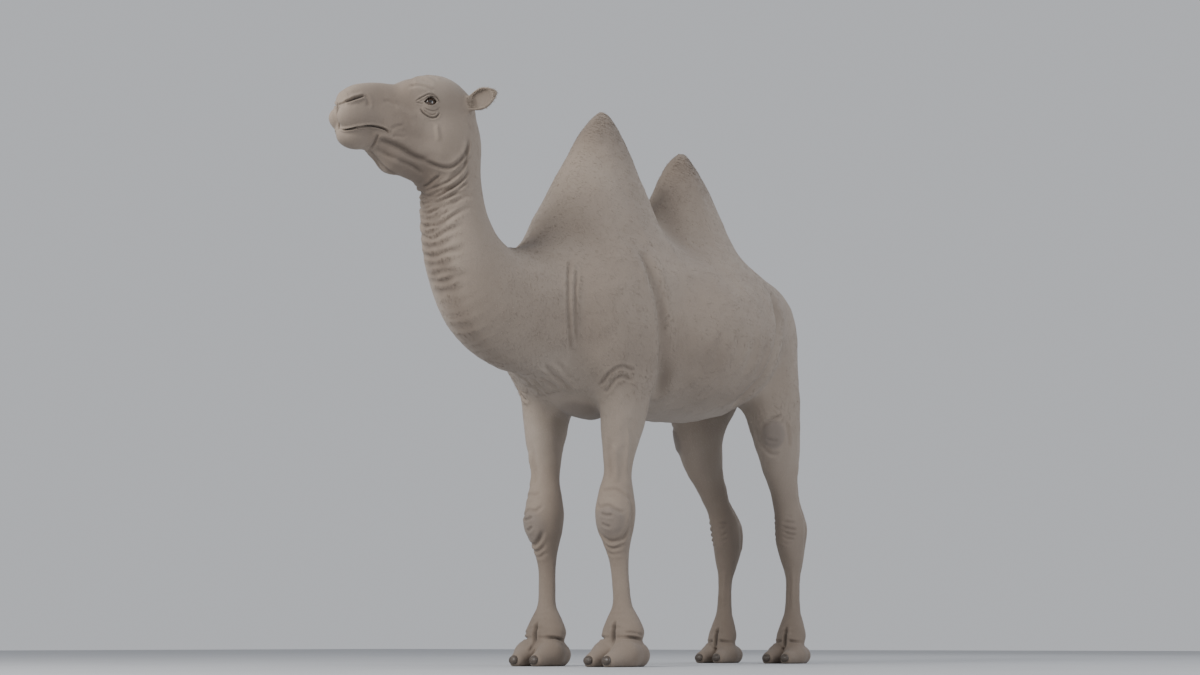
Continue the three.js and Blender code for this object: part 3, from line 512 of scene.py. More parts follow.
RINGS = [                   # the throat's: height in front, at its end, how far round, depth, half width
    (1.590, 1.628, .090, .0060, .0060),
    (1.575, 1.605, .070, .0055, .0050),
    (1.562, 1.598, .095, .0070, .0058),
    (1.547, 1.574, .066, .0055, .0048),
    (1.531, 1.600, .108, .0075, .0058),
    (1.514, 1.535, .050, .0045, .0045),
    (1.503, 1.562, .092, .0055, .0055),
    (1.482, 1.546, .104, .0060, .0065),
    (1.462, 1.492, .060, .0035, .0055),
    (1.444, 1.487, .092, .0048, .0065),
    (1.412, 1.440, .070, .0028, .0070),
    (1.383, 1.409, .092, .0045, .0070),
    (1.352, 1.362, .060, .0025, .0070),
    (1.327, 1.336, .070, .0035, .0075),
    (1.301, 1.325, .090, .0040, .0080),
    (1.270, 1.290, .070, .0025, .0090),
]
RING_BACK = -1.36           # the rings end behind this
BODY_CREASES = [            # on the left side and its mirror
    (.0035, .0060, [(.071, -1.442, 1.618), (.085, -1.422, 1.636), (.092, -1.412, 1.653)]),
    (.0040, .0060, [(.064, -1.454, 1.639), (.082, -1.438, 1.662), (.095, -1.426, 1.688),
                    (.109, -1.391, 1.731)]),
    (.0058, .0075, [(.160, -.880, 1.455), (.173, -.905, 1.417), (.194, -.939, 1.327), (.196, -.942, 1.235),
                    (.177, -.912, 1.158), (.153, -.873, 1.108)]),                 # before the shoulder
    (.0050, .0065, [(.188, -.880, 1.408), (.202, -.908, 1.313), (.199, -.907, 1.222),
                    (.175, -.874, 1.139)]),
    (.0055, .0060, [(.172, -.730, .998), (.186, -.721, 1.019), (.219, -.723, 1.054), (.248, -.689, 1.078),
                    (.262, -.624, 1.069)]),                                                # armpit
    (.0050, .0060, [(.178, -.706, .978), (.194, -.695, .995), (.221, -.694, 1.028), (.241, -.671, 1.044),
                    (.252, -.623, 1.033)]),
    (.0230, .0270, [(.262, -.560, 1.540), (.278, -.551, 1.492), (.298, -.535, 1.423),
                    (.307, -.510, 1.349), (.306, -.488, 1.235), (.280, -.457, 1.139),
                    (.252, -.405, 1.084), (.214, -.370, 1.055), (.165, -.325, 1.016)]),  # behind the elbow
    (.0020, .0060, [(.307, -.505, 1.285), (.309, -.496, 1.302), (.310, -.472, 1.329)]),
    (.0020, .0060, [(.307, -.485, 1.255), (.309, -.472, 1.275), (.312, -.448, 1.301)]),
    (.0060, .0090, [(.085, -.939, 1.063), (.068, -.855, 1.041), (.070, -.788, 1.017), (.065, -.726, .996)]),
    (.0050, .0080, [(.019, -.871, 1.034), (.027, -.816, 1.017), (.025, -.751, .997)]),
    (.0040, .0075, [(.110, -.900, 1.080), (.100, -.830, 1.058), (.104, -.770, 1.035)]),
    (.0055, .0090, [(.179, .411, .972), (.172, .428, .935), (.190, .447, .890), (.210, .475, .864),
                    (.233, .510, .866)]),                                          # round the stifle
    (.0045, .0080, [(.256, .545, .900), (.270, .525, .950), (.275, .500, .998)]),
    (.0045, .0070, [(.201, .410, .979), (.224, .416, .994), (.254, .442, 1.011), (.271, .471, 1.023)]),
    (.0040, .0060, [(.210, .438, .927), (.229, .456, .921), (.242, .472, .925)]),
    (.0300, .0420, [(.290, .390, 1.540), (.335, .345, 1.430), (.372, .290, 1.310), (.368, .235, 1.205),
                    (.325, .205, 1.120), (.270, .180, 1.060), (.200, .165, 1.025)]),   # behind the belly
    (.0040, .0120, [(.300, .330, 1.120), (.268, .330, 1.060), (.225, .320, 1.010)]),
    (.0040, .0200, [(.405, -.095, 1.269), (.387, -.101, 1.191), (.348, -.096, 1.123)]),
    (.0040, .0200, [(.410, .016, 1.273), (.395, .003, 1.199), (.356, -.004, 1.128)]),
    (.0040, .0200, [(.405, .126, 1.270), (.390, .112, 1.196), (.350, .100, 1.125)]),
    (.0035, .0200, [(.390, -.205, 1.265), (.372, -.208, 1.190), (.335, -.200, 1.125)]),
]
FORELEG_CREASES = [         # on the pattern that both forelegs stand off from
    (.0040, .0065, [(.135, -.655, .640), (.157, -.659, .632), (.194, -.649, .634), (.219, -.626, .615),
                    (.229, -.602, .594)]),
    (.0050, .0060, [(.120, -.655, .590), (.143, -.673, .571), (.182, -.671, .575), (.202, -.661, .560),
                    (.222, -.635, .548)]),
    (.0055, .0050, [(.153, -.676, .549), (.172, -.676, .541), (.194, -.667, .540)]),
    (.0055, .0050, [(.155, -.673, .514), (.168, -.671, .504), (.183, -.664, .500)]),
    (.0065, .0070, [(.122, -.654, .500), (.140, -.652, .468), (.170, -.644, .447), (.208, -.621, .460),
                    (.226, -.608, .500), (.231, -.612, .530)]),                      # under the pad
    (.0045, .0065, [(.130, -.640, .448), (.144, -.636, .434), (.175, -.632, .422), (.207, -.611, .440)]),
    (.0030, .0065, [(.135, -.628, .418), (.160, -.625, .404), (.192, -.612, .408)]),
    (.0060, .0080, [(.232, -.610, .640), (.236, -.600, .580), (.233, -.596, .520), (.222, -.590, .460)]),
    (-.0070, .0110, [(.191, -.645, .800), (.188, -.640, .733), (.190, -.636, .660)]),
    (.0040, .0090, [(.172, -.652, .830), (.172, -.645, .740), (.172, -.642, .670)]),
    (-.0050, .0080, [(.222, -.620, .900), (.224, -.606, .800), (.218, -.600, .700)]),
    (.0060, .0080, [(.204, -.574, .410), (.200, -.566, .320), (.205, -.562, .210)]),
    (.0060, .0080, [(.132, -.574, .410), (.137, -.566, .320), (.140, -.562, .210)]),
    (.0120, .0060, [(.177, -.628, .164), (.177, -.634, .142), (.178, -.637, .118), (.178, -.638, .094),
                    (.178, -.650, .072), (.178, -.672, .054)]),                       # toes' cleft
    *with_twin(.177, .0080, .0050, [(.190, -.640, .104), (.212, -.638, .104), (.232, -.626, .104),
                                    (.250, -.600, .100), (.260, -.575, .092), (.264, -.550, .078)]),
    (.0035, .0042, [(.222, -.632, .122), (.246, -.604, .119), (.259, -.575, .112)]),
    (.0030, .0060, [(.140, -.618, .132), (.176, -.630, .138), (.212, -.618, .132), (.236, -.592, .124)]),
    (.0025, .0060, [(.145, -.606, .186), (.176, -.612, .182), (.206, -.606, .186)]),
]
HIND_CREASES = [
    (.0030, .0048, [(.145, .638, .622), (.180, .632, .620), (.207, .655, .612)]),
    (.0042, .0050, [(.116, .660, .600), (.145, .636, .599), (.190, .634, .592), (.216, .676, .590)]),
    (.0048, .0048, [(.125, .648, .583), (.160, .634, .577), (.192, .638, .566), (.216, .682, .560)]),
    (.0045, .0045, [(.140, .640, .566), (.168, .637, .556), (.196, .644, .542), (.214, .682, .538)]),
    (.0042, .0045, [(.122, .656, .560), (.150, .640, .545), (.186, .642, .524), (.209, .676, .518)]),
    (.0036, .0045, [(.124, .660, .534), (.148, .643, .522), (.176, .643, .503), (.194, .656, .497)]),
    (.0028, .0045, [(.136, .655, .508), (.158, .646, .494), (.178, .650, .484)]),
    (.0130, .0150, [(.221, .685, .850), (.215, .695, .760), (.206, .712, .700), (.207, .745, .645),
                    (.210, .765, .600)]),                                  # before the hock's tendon
    (.0150, .0150, [(.126, .685, .850), (.127, .695, .760), (.127, .712, .700), (.121, .745, .645),
                    (.117, .765, .600)]),
    *with_twin(.165, .0045, .0110, [(.214, .752, .590), (.212, .756, .540), (.205, .755, .480)]),
    *with_twin(.165, .0065, .0080, [(.195, .727, .420), (.194, .719, .310), (.200, .710, .200)]),
    *with_twin(.165, -.0035, .0070, [(.176, .690, .420), (.176, .680, .320), (.176, .672, .220)]),
    (.0120, .0060, [(.165, .644, .154), (.165, .636, .134), (.165, .630, .110), (.165, .625, .086),
                    (.165, .618, .064), (.165, .605, .046)]),                         # toes' cleft
    *with_twin(.165, .0080, .0050, [(.178, .629, .094), (.200, .632, .092), (.220, .643, .090),
                                    (.236, .664, .088), (.243, .690, .080)]),
    (.0030, .0060, [(.132, .648, .124), (.165, .640, .130), (.198, .648, .124)]),
]
PADS = [                    # thick bare skin: place on the pattern, half sizes, how proud
    ("fore", (.170, -.650, .520), (.060, .050, .062), .007),       # knee
    ("hind", (.236, .455, .945), (.050, .062, .064), .006),        # stifle
    ("hind", (.165, .800, .600), (.040, .040, .045), .005),        # hock's point
    ("fore", (.190, -.480, .985), (.045, .045, .050), .005),       # elbow
    ("body", (0, -.580, .935), (.105, .140, .050), .006),          # breastbone
]
CREASE_REACH = 4.5          # how far off its line a crease is felt, in half widths
CREASE_END = .16            # the share of a crease's length over which each end dies out
SWELL = .42                 # the height of the swells beside a crease, as a share of its depth
SWELL_AT, SWELL_WIDTH = 2.1, 1.15                               # in half widths
SWELL_BY_DEPTH = (.012, .023), (SWELL, .10)                     # the deeper ones swell less
FULL_SHADE = 3              # the square of depth over half width at which a crease's painted shade is full
RING_FRONT = -.04, .03      # where the rings die out behind, off RING_BACK
RING_SIDES = .12, .15       # and how far out to the sides
RING_ENDS = .72, 1.12       # where each one ends, in its own reach
RING_WIDENING = .25         # how much wider a ring is at its ends
RING_WAVE = .003, 70, 90    # height, and radians for each metre sideways and up
RING_SHADE = .45
PAD_BARE, PAD_PROUD = (.75, 1.15), (.55, 1.10)                  # where each dies out, in half sizes
HOLLOW_WIDTH, HOLLOW_DEPTH = .85, .70                           # the ear's, in its half widths
HOLLOW_ROOT = .004, .030    # where it begins along the ear, and over how much
HOLLOW_TIP = .97, .25       # where it ends, in ear lengths, and over how much
HOLLOW_EDGE = .004          # how softly it begins between front and back
HOLLOW_DARK = .012          # how deep it counts as fully in the ear
RIPPLES = [(.0018, .16, 3), (.0010, .07, 5)]                    # the hide's: height, size, seed
RIPPLE_HEAD = -.25, .05     # they die out forward on the head
RIPPLE_LEGS = -.75, -.50    # and down the legs, by minus the height
EVENED = .12                # how much the folded net is evened out


def drawn(line, parts=6):
    """A line of few places drawn as a smooth curve through them."""
    n = np.arange(len(line))
    return curve(np.linspace(0, n[-1], n[-1] * parts + 1), n, line)


def along_line(p, line):
    """The distance to a line and how far along it, from 0 to 1, the nearest place is."""
    a, part = line[:-1], np.diff(line, axis=0)
    t = np.clip(((p[:, None] - a) * part).sum(2) / (part**2).sum(1), 0, 1)
    away = np.linalg.norm(p[:, None] - a - t[..., None] * part, axis=2)
    i, every = away.argmin(1), np.arange(len(p))
    length = np.linalg.norm(part, axis=1)
    start = np.cumsum(length) - length
    return away[every, i], (start[i] + t[every, i] * length[i]) / length.sum()


def by_line(p, line, reach):
    """Which places lie within reach of a line, how far from it, and how far along it."""
    close = np.flatnonzero(((p > line.min(0) - reach) & (p < line.max(0) + reach)).all(1))
    distance, t = along_line(p[close], line)
    return close, distance, t


def groove(distance, half_width, swell=SWELL):
    """The depth of a crease at a distance from its line: a narrow dip between two soft swells."""
    d = distance / half_width
    return np.exp(-d * d) - swell * np.exp(-((d - SWELL_AT) / SWELL_WIDTH)**2)


def press(p, creases):
    """How deep the creases press each place, and how much painted shade they leave on it."""
    depth, shade = np.zeros(len(p)), np.zeros(len(p))
    for deep, half_width, line in creases:
        close, distance, t = by_line(p, drawn(line), CREASE_REACH * half_width)
        ends = np.clip(np.minimum(t, 1 - t) / CREASE_END, 0, 1)
        share = ends * (2 - ends)
        depth[close] += deep * share * groove(distance, half_width, np.interp(deep, *SWELL_BY_DEPTH))
        if deep > 0:
            # Painted shade: the crease's line is darkened in colour, the more the steeper it is
            steepness = min((deep / half_width)**2 / FULL_SHADE, 1)
            dark = share * np.exp(-(distance / half_width)**2) * steepness
            shade[close] = np.maximum(shade[close], dark)
    return depth, shade


def throat_rings(p):
    """The rings: each a parabola across the front of the throat, in height against sideways."""
    depth, shade = np.zeros(len(p)), np.zeros(len(p))
    front = fade(p[:, 1], RING_BACK + RING_FRONT[0], RING_BACK + RING_FRONT[1])
    front = front * fade(np.abs(p[:, 0]), *RING_SIDES)
    height, sideways, upward = RING_WAVE
    for middle, end, reach, deep, half_width in RINGS:
        t = np.abs(p[:, 0]) / reach
        wave = height * np.sin(sideways * p[:, 0] + upward * middle)
        distance = np.abs(p[:, 2] - middle - (end - middle) * t * t - wave)
        distance = distance * (1 - RING_WIDENING * np.minimum(t, 1))
        share = front * fade(t, *RING_ENDS)
        depth += deep * share * groove(distance, half_width)
        # Painted shade along each ring's line
        shade = np.maximum(shade, share * np.exp(-(distance / half_width)**2) * RING_SHADE)
    return depth, shade


def ripple(p, size, seed, waves=14):
    """A soft uneven swell: the mean of sine waves of about one length in many directions."""
    random = np.random.default_rng(seed)
    way = random.normal(size=(waves, 3))
    way /= np.linalg.norm(way, axis=1, keepdims=True)
    beat = 2 * np.pi / size * random.uniform(.7, 1.4, waves)
    return np.sin((p @ way.T) * beat + random.uniform(0, 7, waves)).sum(1) / np.sqrt(waves)


def pads(p, fore, hind):
    """How far each place belongs to a pad of thick skin, and how proud it stands there."""
    bare, proud = np.zeros(len(p)), np.zeros(len(p))
    for where, at, half, height in PADS:
        q = {"fore": fore, "hind": hind, "body": p}[where]
        away = np.linalg.norm((q - at) / half, axis=1)
        bare = np.maximum(bare, fade(away, *PAD_BARE))
        proud = np.maximum(proud, height * fade(away, *PAD_PROUD))
    return bare, proud


def ear_hollow(q):
    """How far the leaf is pressed in on the side it faces, deepest along its middle."""
    length, lift, across = in_ear(q)
    half = ear_half_width(length)
    t = np.clip(length / EAR_LENGTH, 0, 1)
    inside = np.clip(1 - (across / (HOLLOW_WIDTH * half))**2, 0, 1)
    (root, root_run), (tip, tip_run) = HOLLOW_ROOT, HOLLOW_TIP
    ends = np.clip((length - root) / root_run, 0, 1) * np.clip((tip - t) / tip_run, 0, 1)
    facing = fade(-lift, -HOLLOW_EDGE, HOLLOW_EDGE)
    return (length < EAR_LENGTH) * facing * ends * np.sqrt(inside) * HOLLOW_DEPTH * half


def crease_frames(p):
    """
    Places, mirrored to the left, as the four tables of creases have them: in the head's frame, on
    the body, and on the patterns of the forelegs and the hind legs.
    """
    q = in_head(p)
    q[:, 1] = np.abs(q[:, 1])
    mirrored = np.stack([np.abs(p[:, 0]), p[:, 1], p[:, 2]], 1)
    left = p[:, :1] > 0
    fore, hind = [np.where(left, on_pattern(mirrored, stance[1]), on_pattern(mirrored, stance[-1]))
                  for stance in (FORE_STANCE, HIND_STANCE)]
    return q, mirrored, fore, hind


CREASES = HEAD_CREASES, BODY_CREASES, FORELEG_CREASES, HIND_CREASES     # as crease_frames orders them


def sided(way, p):
    """A way in the head's frame on the left, and its mirror image for places on the right."""
    return way * np.stack([np.ones(len(p)), np.sign(in_head(p)[:, 1]), np.ones(len(p))], 1)


def fold(points, triangles):
    """The net with its folds, then each point's painted shade, bareness and depth in the ear, 0 to 1."""
    frames = crease_frames(points)
    found = [press(*pair) for pair in zip(frames, CREASES)] + [throat_rings(points)]
    depth = np.sum([d for d, _ in found], 0)
    shade = np.max([s for _, s in found], 0)
    bare, proud = pads(*frames[1:])
    on_body = fade(frames[0][:, 0], *RIPPLE_HEAD) * fade(-points[:, 2], *RIPPLE_LEGS)
    proud += on_body * sum(height * ripple(points, size, seed) for height, size, seed in RIPPLES)
    moved = points + (proud - depth)[:, None] * normals_of(points, triangles)
    hollow = ear_hollow(frames[0])
    moved -= hollow[:, None] * (sided(ear_axes()[1], points) @ HEAD_AXES)
    return relaxed(moved, triangles, EVENED), shade, bare, np.clip(hollow / HOLLOW_DARK, 0, 1)


# ---------------------------------------------------------------------------------------------
# The skin's net
#
# One closed skin without a seam. It is drawn over the form on a grid, then made finer where the
# real skin is most worked: the head, the throat's rings, the knees and the feet.

GRID = .0175
SKIN_BOX = np.array([-.5, -1.95, -.03]), np.array([.5, 1.1, 2.25])
ROUNDS = 5
LONGEST = 1.4               # an edge is split when it is this many times the wanted length
THROAT = (0, -1.44, 1.48), (1, .9, 2.3)                         # its middle, and its shape
FACE = .26, 0, -.03                                             # in the head's frame
MUZZLE = (.46, 0, -.03), (1, 1, 1.3)
EDGES = {                   # wanted length of edge, and how far off it begins and ends to apply
    "legs": (.0200, .85, 1.05),
    "feet": (.0110, .14, .24),
    "throat": (.0080, .10, .16),
    "face": (.0115, .27, .40),
    "muzzle": (.0050, .07, .11),
    "eye": (.0026, .032, .055),
    "ear": (.0034, .066, .085),
}
PLAIN_EDGE, LID_EDGE_SIZE = .031, .0011
LID_LINE = .003, .007       # how far off the opening's edge the lid's edge is drawn finest
LID_CIRCLE = .034, .040     # and how far from the eye's middle
CREASE_SIZE = .92           # the edge on a crease, in half widths
CREASE_FLAT, CREASE_GROWTH = 2.4, .55                           # and how it grows farther off
CREASE_FIELD = 12           # how far off it is felt, in half widths


def surface_net(form, low, high, step, coarse=4):
    """
    A closed net on form = 0. Each grid cell that the surface crosses gets one point, the mean of
    the crossings on its edges, and each crossed grid edge gets a quad between its four cells.
    Only the cells near the surface on a coarse grid are worked out in full.
    """
    block = step * coarse
    count = np.ceil((high - low) / block).astype(int)
    middles = [low[i] + block * (np.arange(count[i]) + .5) for i in range(3)]
    rough = form(np.stack(np.meshgrid(*middles, indexing="ij"), -1).reshape(-1, 3)).reshape(count)
    value = rough
    for axis in range(3):
        value = np.repeat(value, coarse, axis)
    value = np.pad(value, ((0, 1),) * 3, mode="edge").astype(np.float32)
    k = np.arange(coarse + 1)
    corners = np.stack(np.meshgrid(k, k, k, indexing="ij"), -1).reshape(-1, 3)
    busy = np.argwhere(np.abs(rough) < 1.3 * block)
    for batch in np.array_split(busy, max(len(busy) // 2000, 1)):
        i = (batch[:, None] * coarse + corners).reshape(-1, 3)
        value[tuple(i.T)] = form(low + i * step)
    inside = value < 0
    n = np.array(value.shape)
    part = lambda d: tuple(slice(d[i], n[i] - 1 + d[i]) for i in range(3))
    shares = np.stack([inside[part(d)] for d in np.ndindex(2, 2, 2)]).sum(0)
    cell = np.argwhere((shares > 0) & (shares < 8))
    number = np.full(n - 1, -1)
    number[tuple(cell.T)] = np.arange(len(cell))
    total, crossings = np.zeros((len(cell), 3)), np.zeros((len(cell), 1))
    for axis in range(3):
        for a, b in np.ndindex(2, 2):
            start = np.insert([a, b], axis, 0)
            end = np.insert([a, b], axis, 1)
            u, v = value[tuple((cell + start).T)], value[tuple((cell + end).T)]
            crossed = (u < 0) != (v < 0)
            t = np.where(crossed, u / np.where(crossed, u - v, 1), 0)[:, None]
            total += crossed[:, None] * (start + t * (end - start))
            crossings += crossed[:, None]
    points = low + (cell + total / crossings) * step
    quads = []
    for axis in range(3):
        first, second = (axis + 1) % 3, (axis + 2) % 3
        lower = [slice(1, n[i] - 1) for i in range(3)]
        upper = list(lower)
        lower[axis], upper[axis] = slice(0, n[axis] - 1), slice(1, n[axis])
        a, b = inside[tuple(lower)], inside[tuple(upper)]
        for crossed, order in ((a & ~b, 1), (~a & b, -1)):
            base = np.argwhere(crossed) + 1
            base[:, axis] -= 1
            ring = []
            for d1, d2 in ((0, 0), (-1, 0), (-1, -1), (0, -1)):
                at = base.copy()
                at[:, first] += d1
                at[:, second] += d2
                ring.append(number[tuple(at.T)])
            quads.append(np.stack(ring, 1)[:, ::order])
    quads = np.concatenate(quads)
    return points, np.concatenate([quads[:, [0, 1, 2]], quads[:, [0, 2, 3]]])


def split_long(points, triangles, size):
    """Splits each edge that is too long for the size wanted there, and the triangles with it."""
    edges = np.sort(triangles[:, [0, 1, 1, 2, 2, 0]].reshape(-1, 2), axis=1)
    key, back = np.unique(edges[:, 0] * len(points) + edges[:, 1], return_inverse=True)
    a, b = points[key // len(points)], points[key % len(points)]
    middle = (a + b) / 2
    split = np.linalg.norm(a - b, axis=1) > LONGEST * size(middle)
    new = np.full(len(key), -1)
    new[split] = len(points) + np.arange(split.sum())
    m = new[back.reshape(-1, 3)]
    count = (m >= 0).sum(1)
    out = [triangles[count == 0]]
    for turn in range(3):
        i = [(turn + k) % 3 for k in range(3)]
        t, e = triangles[:, i], m[:, i]
        one = (e[:, 0] >= 0) & (count == 1)
        out += [np.stack([t[one, 0], e[one, 0], t[one, 2]], 1),
                np.stack([e[one, 0], t[one, 1], t[one, 2]], 1)]
        two = (e[:, 2] < 0) & (count == 2)
        t, e = t[two], e[two]
        out += [np.stack([e[:, 0], t[:, 1], e[:, 1]], 1), np.stack([t[:, 0], e[:, 0], e[:, 1]], 1),
                np.stack([t[:, 0], e[:, 1], t[:, 2]], 1)]
    t, e = triangles[count == 3], m[count == 3]
    out += [np.stack([t[:, k], e[:, k], e[:, k - 1]], 1) for k in range(3)] + [e]
    return np.concatenate([points, middle[split]]), np.concatenate(out)


def slope_of(form, points, reach=5e-4):
    """The gradient of a form, by differences along each axis."""
    return np.stack([(form(points + reach * axis) - form(points - reach * axis)) / (2 * reach)
                     for axis in np.eye(3)], 1)


def settle(form, points, rounds, farthest=.01, gentlest=.2):
    """Moves points onto form = 0 by Newton's steps down its slope, each within limits."""
    for _ in range(rounds):
        slope = slope_of(form, points)
        step = form(points) / np.maximum((slope**2).sum(1), gentlest)
        points = points - np.clip(step, -farthest, farthest)[:, None] * slope
    return points


def relaxed(points, triangles, share=.5):
    """Moves each point a share of the way to the mean of its neighbours."""
    pairs = triangles[:, [0, 1, 1, 2, 2, 0]].reshape(-1, 2)
    count = np.bincount(pairs[:, 0], minlength=len(points))[:, None]
    mean = np.stack([np.bincount(pairs[:, 0], points[pairs[:, 1], i], len(points))
                     for i in range(3)], 1) / count
    return points + share * (mean - points)


def normals_of(points, triangles):
    """Each point's normal: the sum of its triangles' area vectors, made a unit long."""
    a, b, c = (points[triangles[:, k]] for k in range(3))
    area = np.cross(b - a, c - a)
    total = np.stack([np.bincount(triangles.ravel(), np.repeat(area[:, i], 3), len(points))
                      for i in range(3)], 1)
    return total / np.linalg.norm(total, axis=1, keepdims=True)


def fade(distance, near_to, far_from):
    """
    1 within the first distance and 0 past the second, smoothly between. A measure and its two
    limits with their signs turned fade the other way.
    """
    t = np.clip((far_from - distance) / (far_from - near_to), 0, 1)
    return t * t * (3 - 2 * t)


def away_from(p, middle, shape=(1, 1, 1)):
    """Distance from a place, with each axis counted shorter by its share of the shape."""
    return np.linalg.norm((p - middle) / shape, axis=1)


def skin_size(p):
    """The length of edge wanted at each place: a share of the half width of a crease close by."""
    frames = crease_frames(p)
    q = frames[0]
    size = np.full(len(p), PLAIN_EDGE)

    def finer(share, edge):
        return size * (1 - share) + np.minimum(edge, size) * share

    def finer_by(distance, place):
        edge, near_to, far_from = EDGES[place]
        return finer(fade(distance, near_to, far_from), edge)
    size = finer_by(p[:, 2], "legs")
    size = finer_by(p[:, 2], "feet")
    size = finer_by(away_from(p, *THROAT), "throat")
    size = finer_by(away_from(q, FACE), "face")
    size = finer_by(away_from(q, *MUZZLE), "muzzle")
    for places, creases in zip(frames, CREASES):
        for _, half_width, line in creases:
            close, distance, _ = by_line(places, drawn(line, 3), CREASE_FIELD * half_width)
            beyond = np.maximum(distance - CREASE_FLAT * half_width, 0)
            wanted = CREASE_SIZE * half_width + CREASE_GROWTH * beyond
            size[close] = np.minimum(size[close], wanted)
    by_eye = away_from(q, EYE)
    size = finer_by(by_eye, "eye")
    on_lid = fade(np.abs(eye_opening(q)), *LID_LINE) * fade(by_eye, *LID_CIRCLE)
    size = finer(on_lid, LID_EDGE_SIZE)
    middle = EAR_AT + .5 * EAR_LENGTH * EAR_ALONG / np.linalg.norm(EAR_ALONG)
    return finer_by(away_from(q, middle), "ear")


def skin_net():
    """The net over the form, made finer in rounds, each evened out and laid on the form again."""
    points, triangles = surface_net(body, *SKIN_BOX, GRID)
    for _ in range(ROUNDS):
        points, triangles = split_long(points, triangles, skin_size)
        points = settle(body, relaxed(points, triangles), 1)
    return settle(body, relaxed(points, triangles, .6), 2), triangles


# ---------------------------------------------------------------------------------------------
# The skin and its coat
#
# One hide from nose to tail, under summer hair a few millimetres long that lies flat. The hair is
# thin on the face, the ears and the feet, and gone from the pads.

PLACE = np.array([sum(c[0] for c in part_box("trunk")) / 2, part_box("trunk")[0][1] - NECK_CUT, 0])
HAIR = (.272, .219, .175)
PALE_HAIR = (.360, .302, .250)
DARK_HAIR = (.150, .114, .088)
BARE_SKIN = (.200, .166, .142)
CRACKED_SKIN = (.110, .088, .074)
# Painted shade: the dark colour that folds, creases and the ear's hollow are darkened towards
FOLD_PAINTED_SHADE = (.034, .026, .021)
HUMP_TONE, CREST_TONE, SHIN_TONE, BELLY_TONE = .5, .55, .5, -.7
HUMP_CAP = .10, .34         # how far from a hump's tip its dark cap fades
CREST = (-.95, -.80), (.02, .07)                                # the neck's: y, and how far out
SHINS = .35, .80            # the heights between which the legs' darkness fades
UNDERSIDE = (1.00, 1.22), (-.90, -.70), (.10, .30)              # fades by z, minus z, and sideways
TONE_CLOUD = .12, .30, 11   # uneven tone: how much, size, seed
EAR_SHADE = .6
CLOUDS, FLECKS, WRINKLES = (5, 4, .6), (420, 2, .7), (38, 4, .6, .4)     # noise: scale, detail, roughness
STRANDS, LOCKS = (520, 2, .55, .3), (90, 2, .5, .6)                     # and distortion
STRAND_SHARE, LOCK_SHARE = .45, .55                             # of the hair's height
HAIR_DRAWN = .16            # the noise's scale along the hair, as a share
CLOUD_SHARE = .35           # of the clouds in the coat's tone
FLECK_TONE = [(.30, .90), (.70, 1.08)]                          # stops, here and below: value, result
CRACK_SCALE, CRACK_STRAY, CRACK_STRAY_SCALE = 210., .02, 30.
CRACK_TONE = [(0, .62), (.13, 1.)]                              # by the distance from a crack
PAINTED_SHADE_RAMP = [(0, 0.), (.6, .38), (1, .97)]                      # how much painted shade a place gets, by its shade
LEATHER = .65               # how much of the pads' colour is bare skin's
CRACK_HEIGHT, SOFT_SHARE, WRINKLE_SHARE = .6, .65, .45          # of the relief
HIDE_BUMP = .40, .0030      # strength, and height in metres
HIDE_ROUGHNESS = [(.3, .88), (.7, .66)]
UPRIGHT = (.95, 1.20), (-1.10, -.90)                            # hair hangs on the legs and the neck


def tone(p):
    """How dark (above 0) or pale (below 0) the coat is: dark on crests and shins, pale beneath."""
    dark = np.zeros(len(p))
    for (y, z), _ in HUMPS:
        dark = np.maximum(dark, HUMP_TONE * fade(away_from(p, (0, y, z)), *HUMP_CAP))
    crest = fade(p[:, 1], *CREST[0]) * CREST_TONE * fade(np.abs(p[:, 0]), *CREST[1])
    dark = np.maximum(np.maximum(dark, crest), SHIN_TONE * fade(p[:, 2], *SHINS))
    under = fade(p[:, 2], *UNDERSIDE[0]) * fade(-p[:, 2], *UNDERSIDE[1])
    under = under * fade(np.abs(p[:, 0]), *UNDERSIDE[2])
    cloud, size, seed = TONE_CLOUD
    return dark + BELLY_TONE * under + cloud * ripple(p, size, seed)


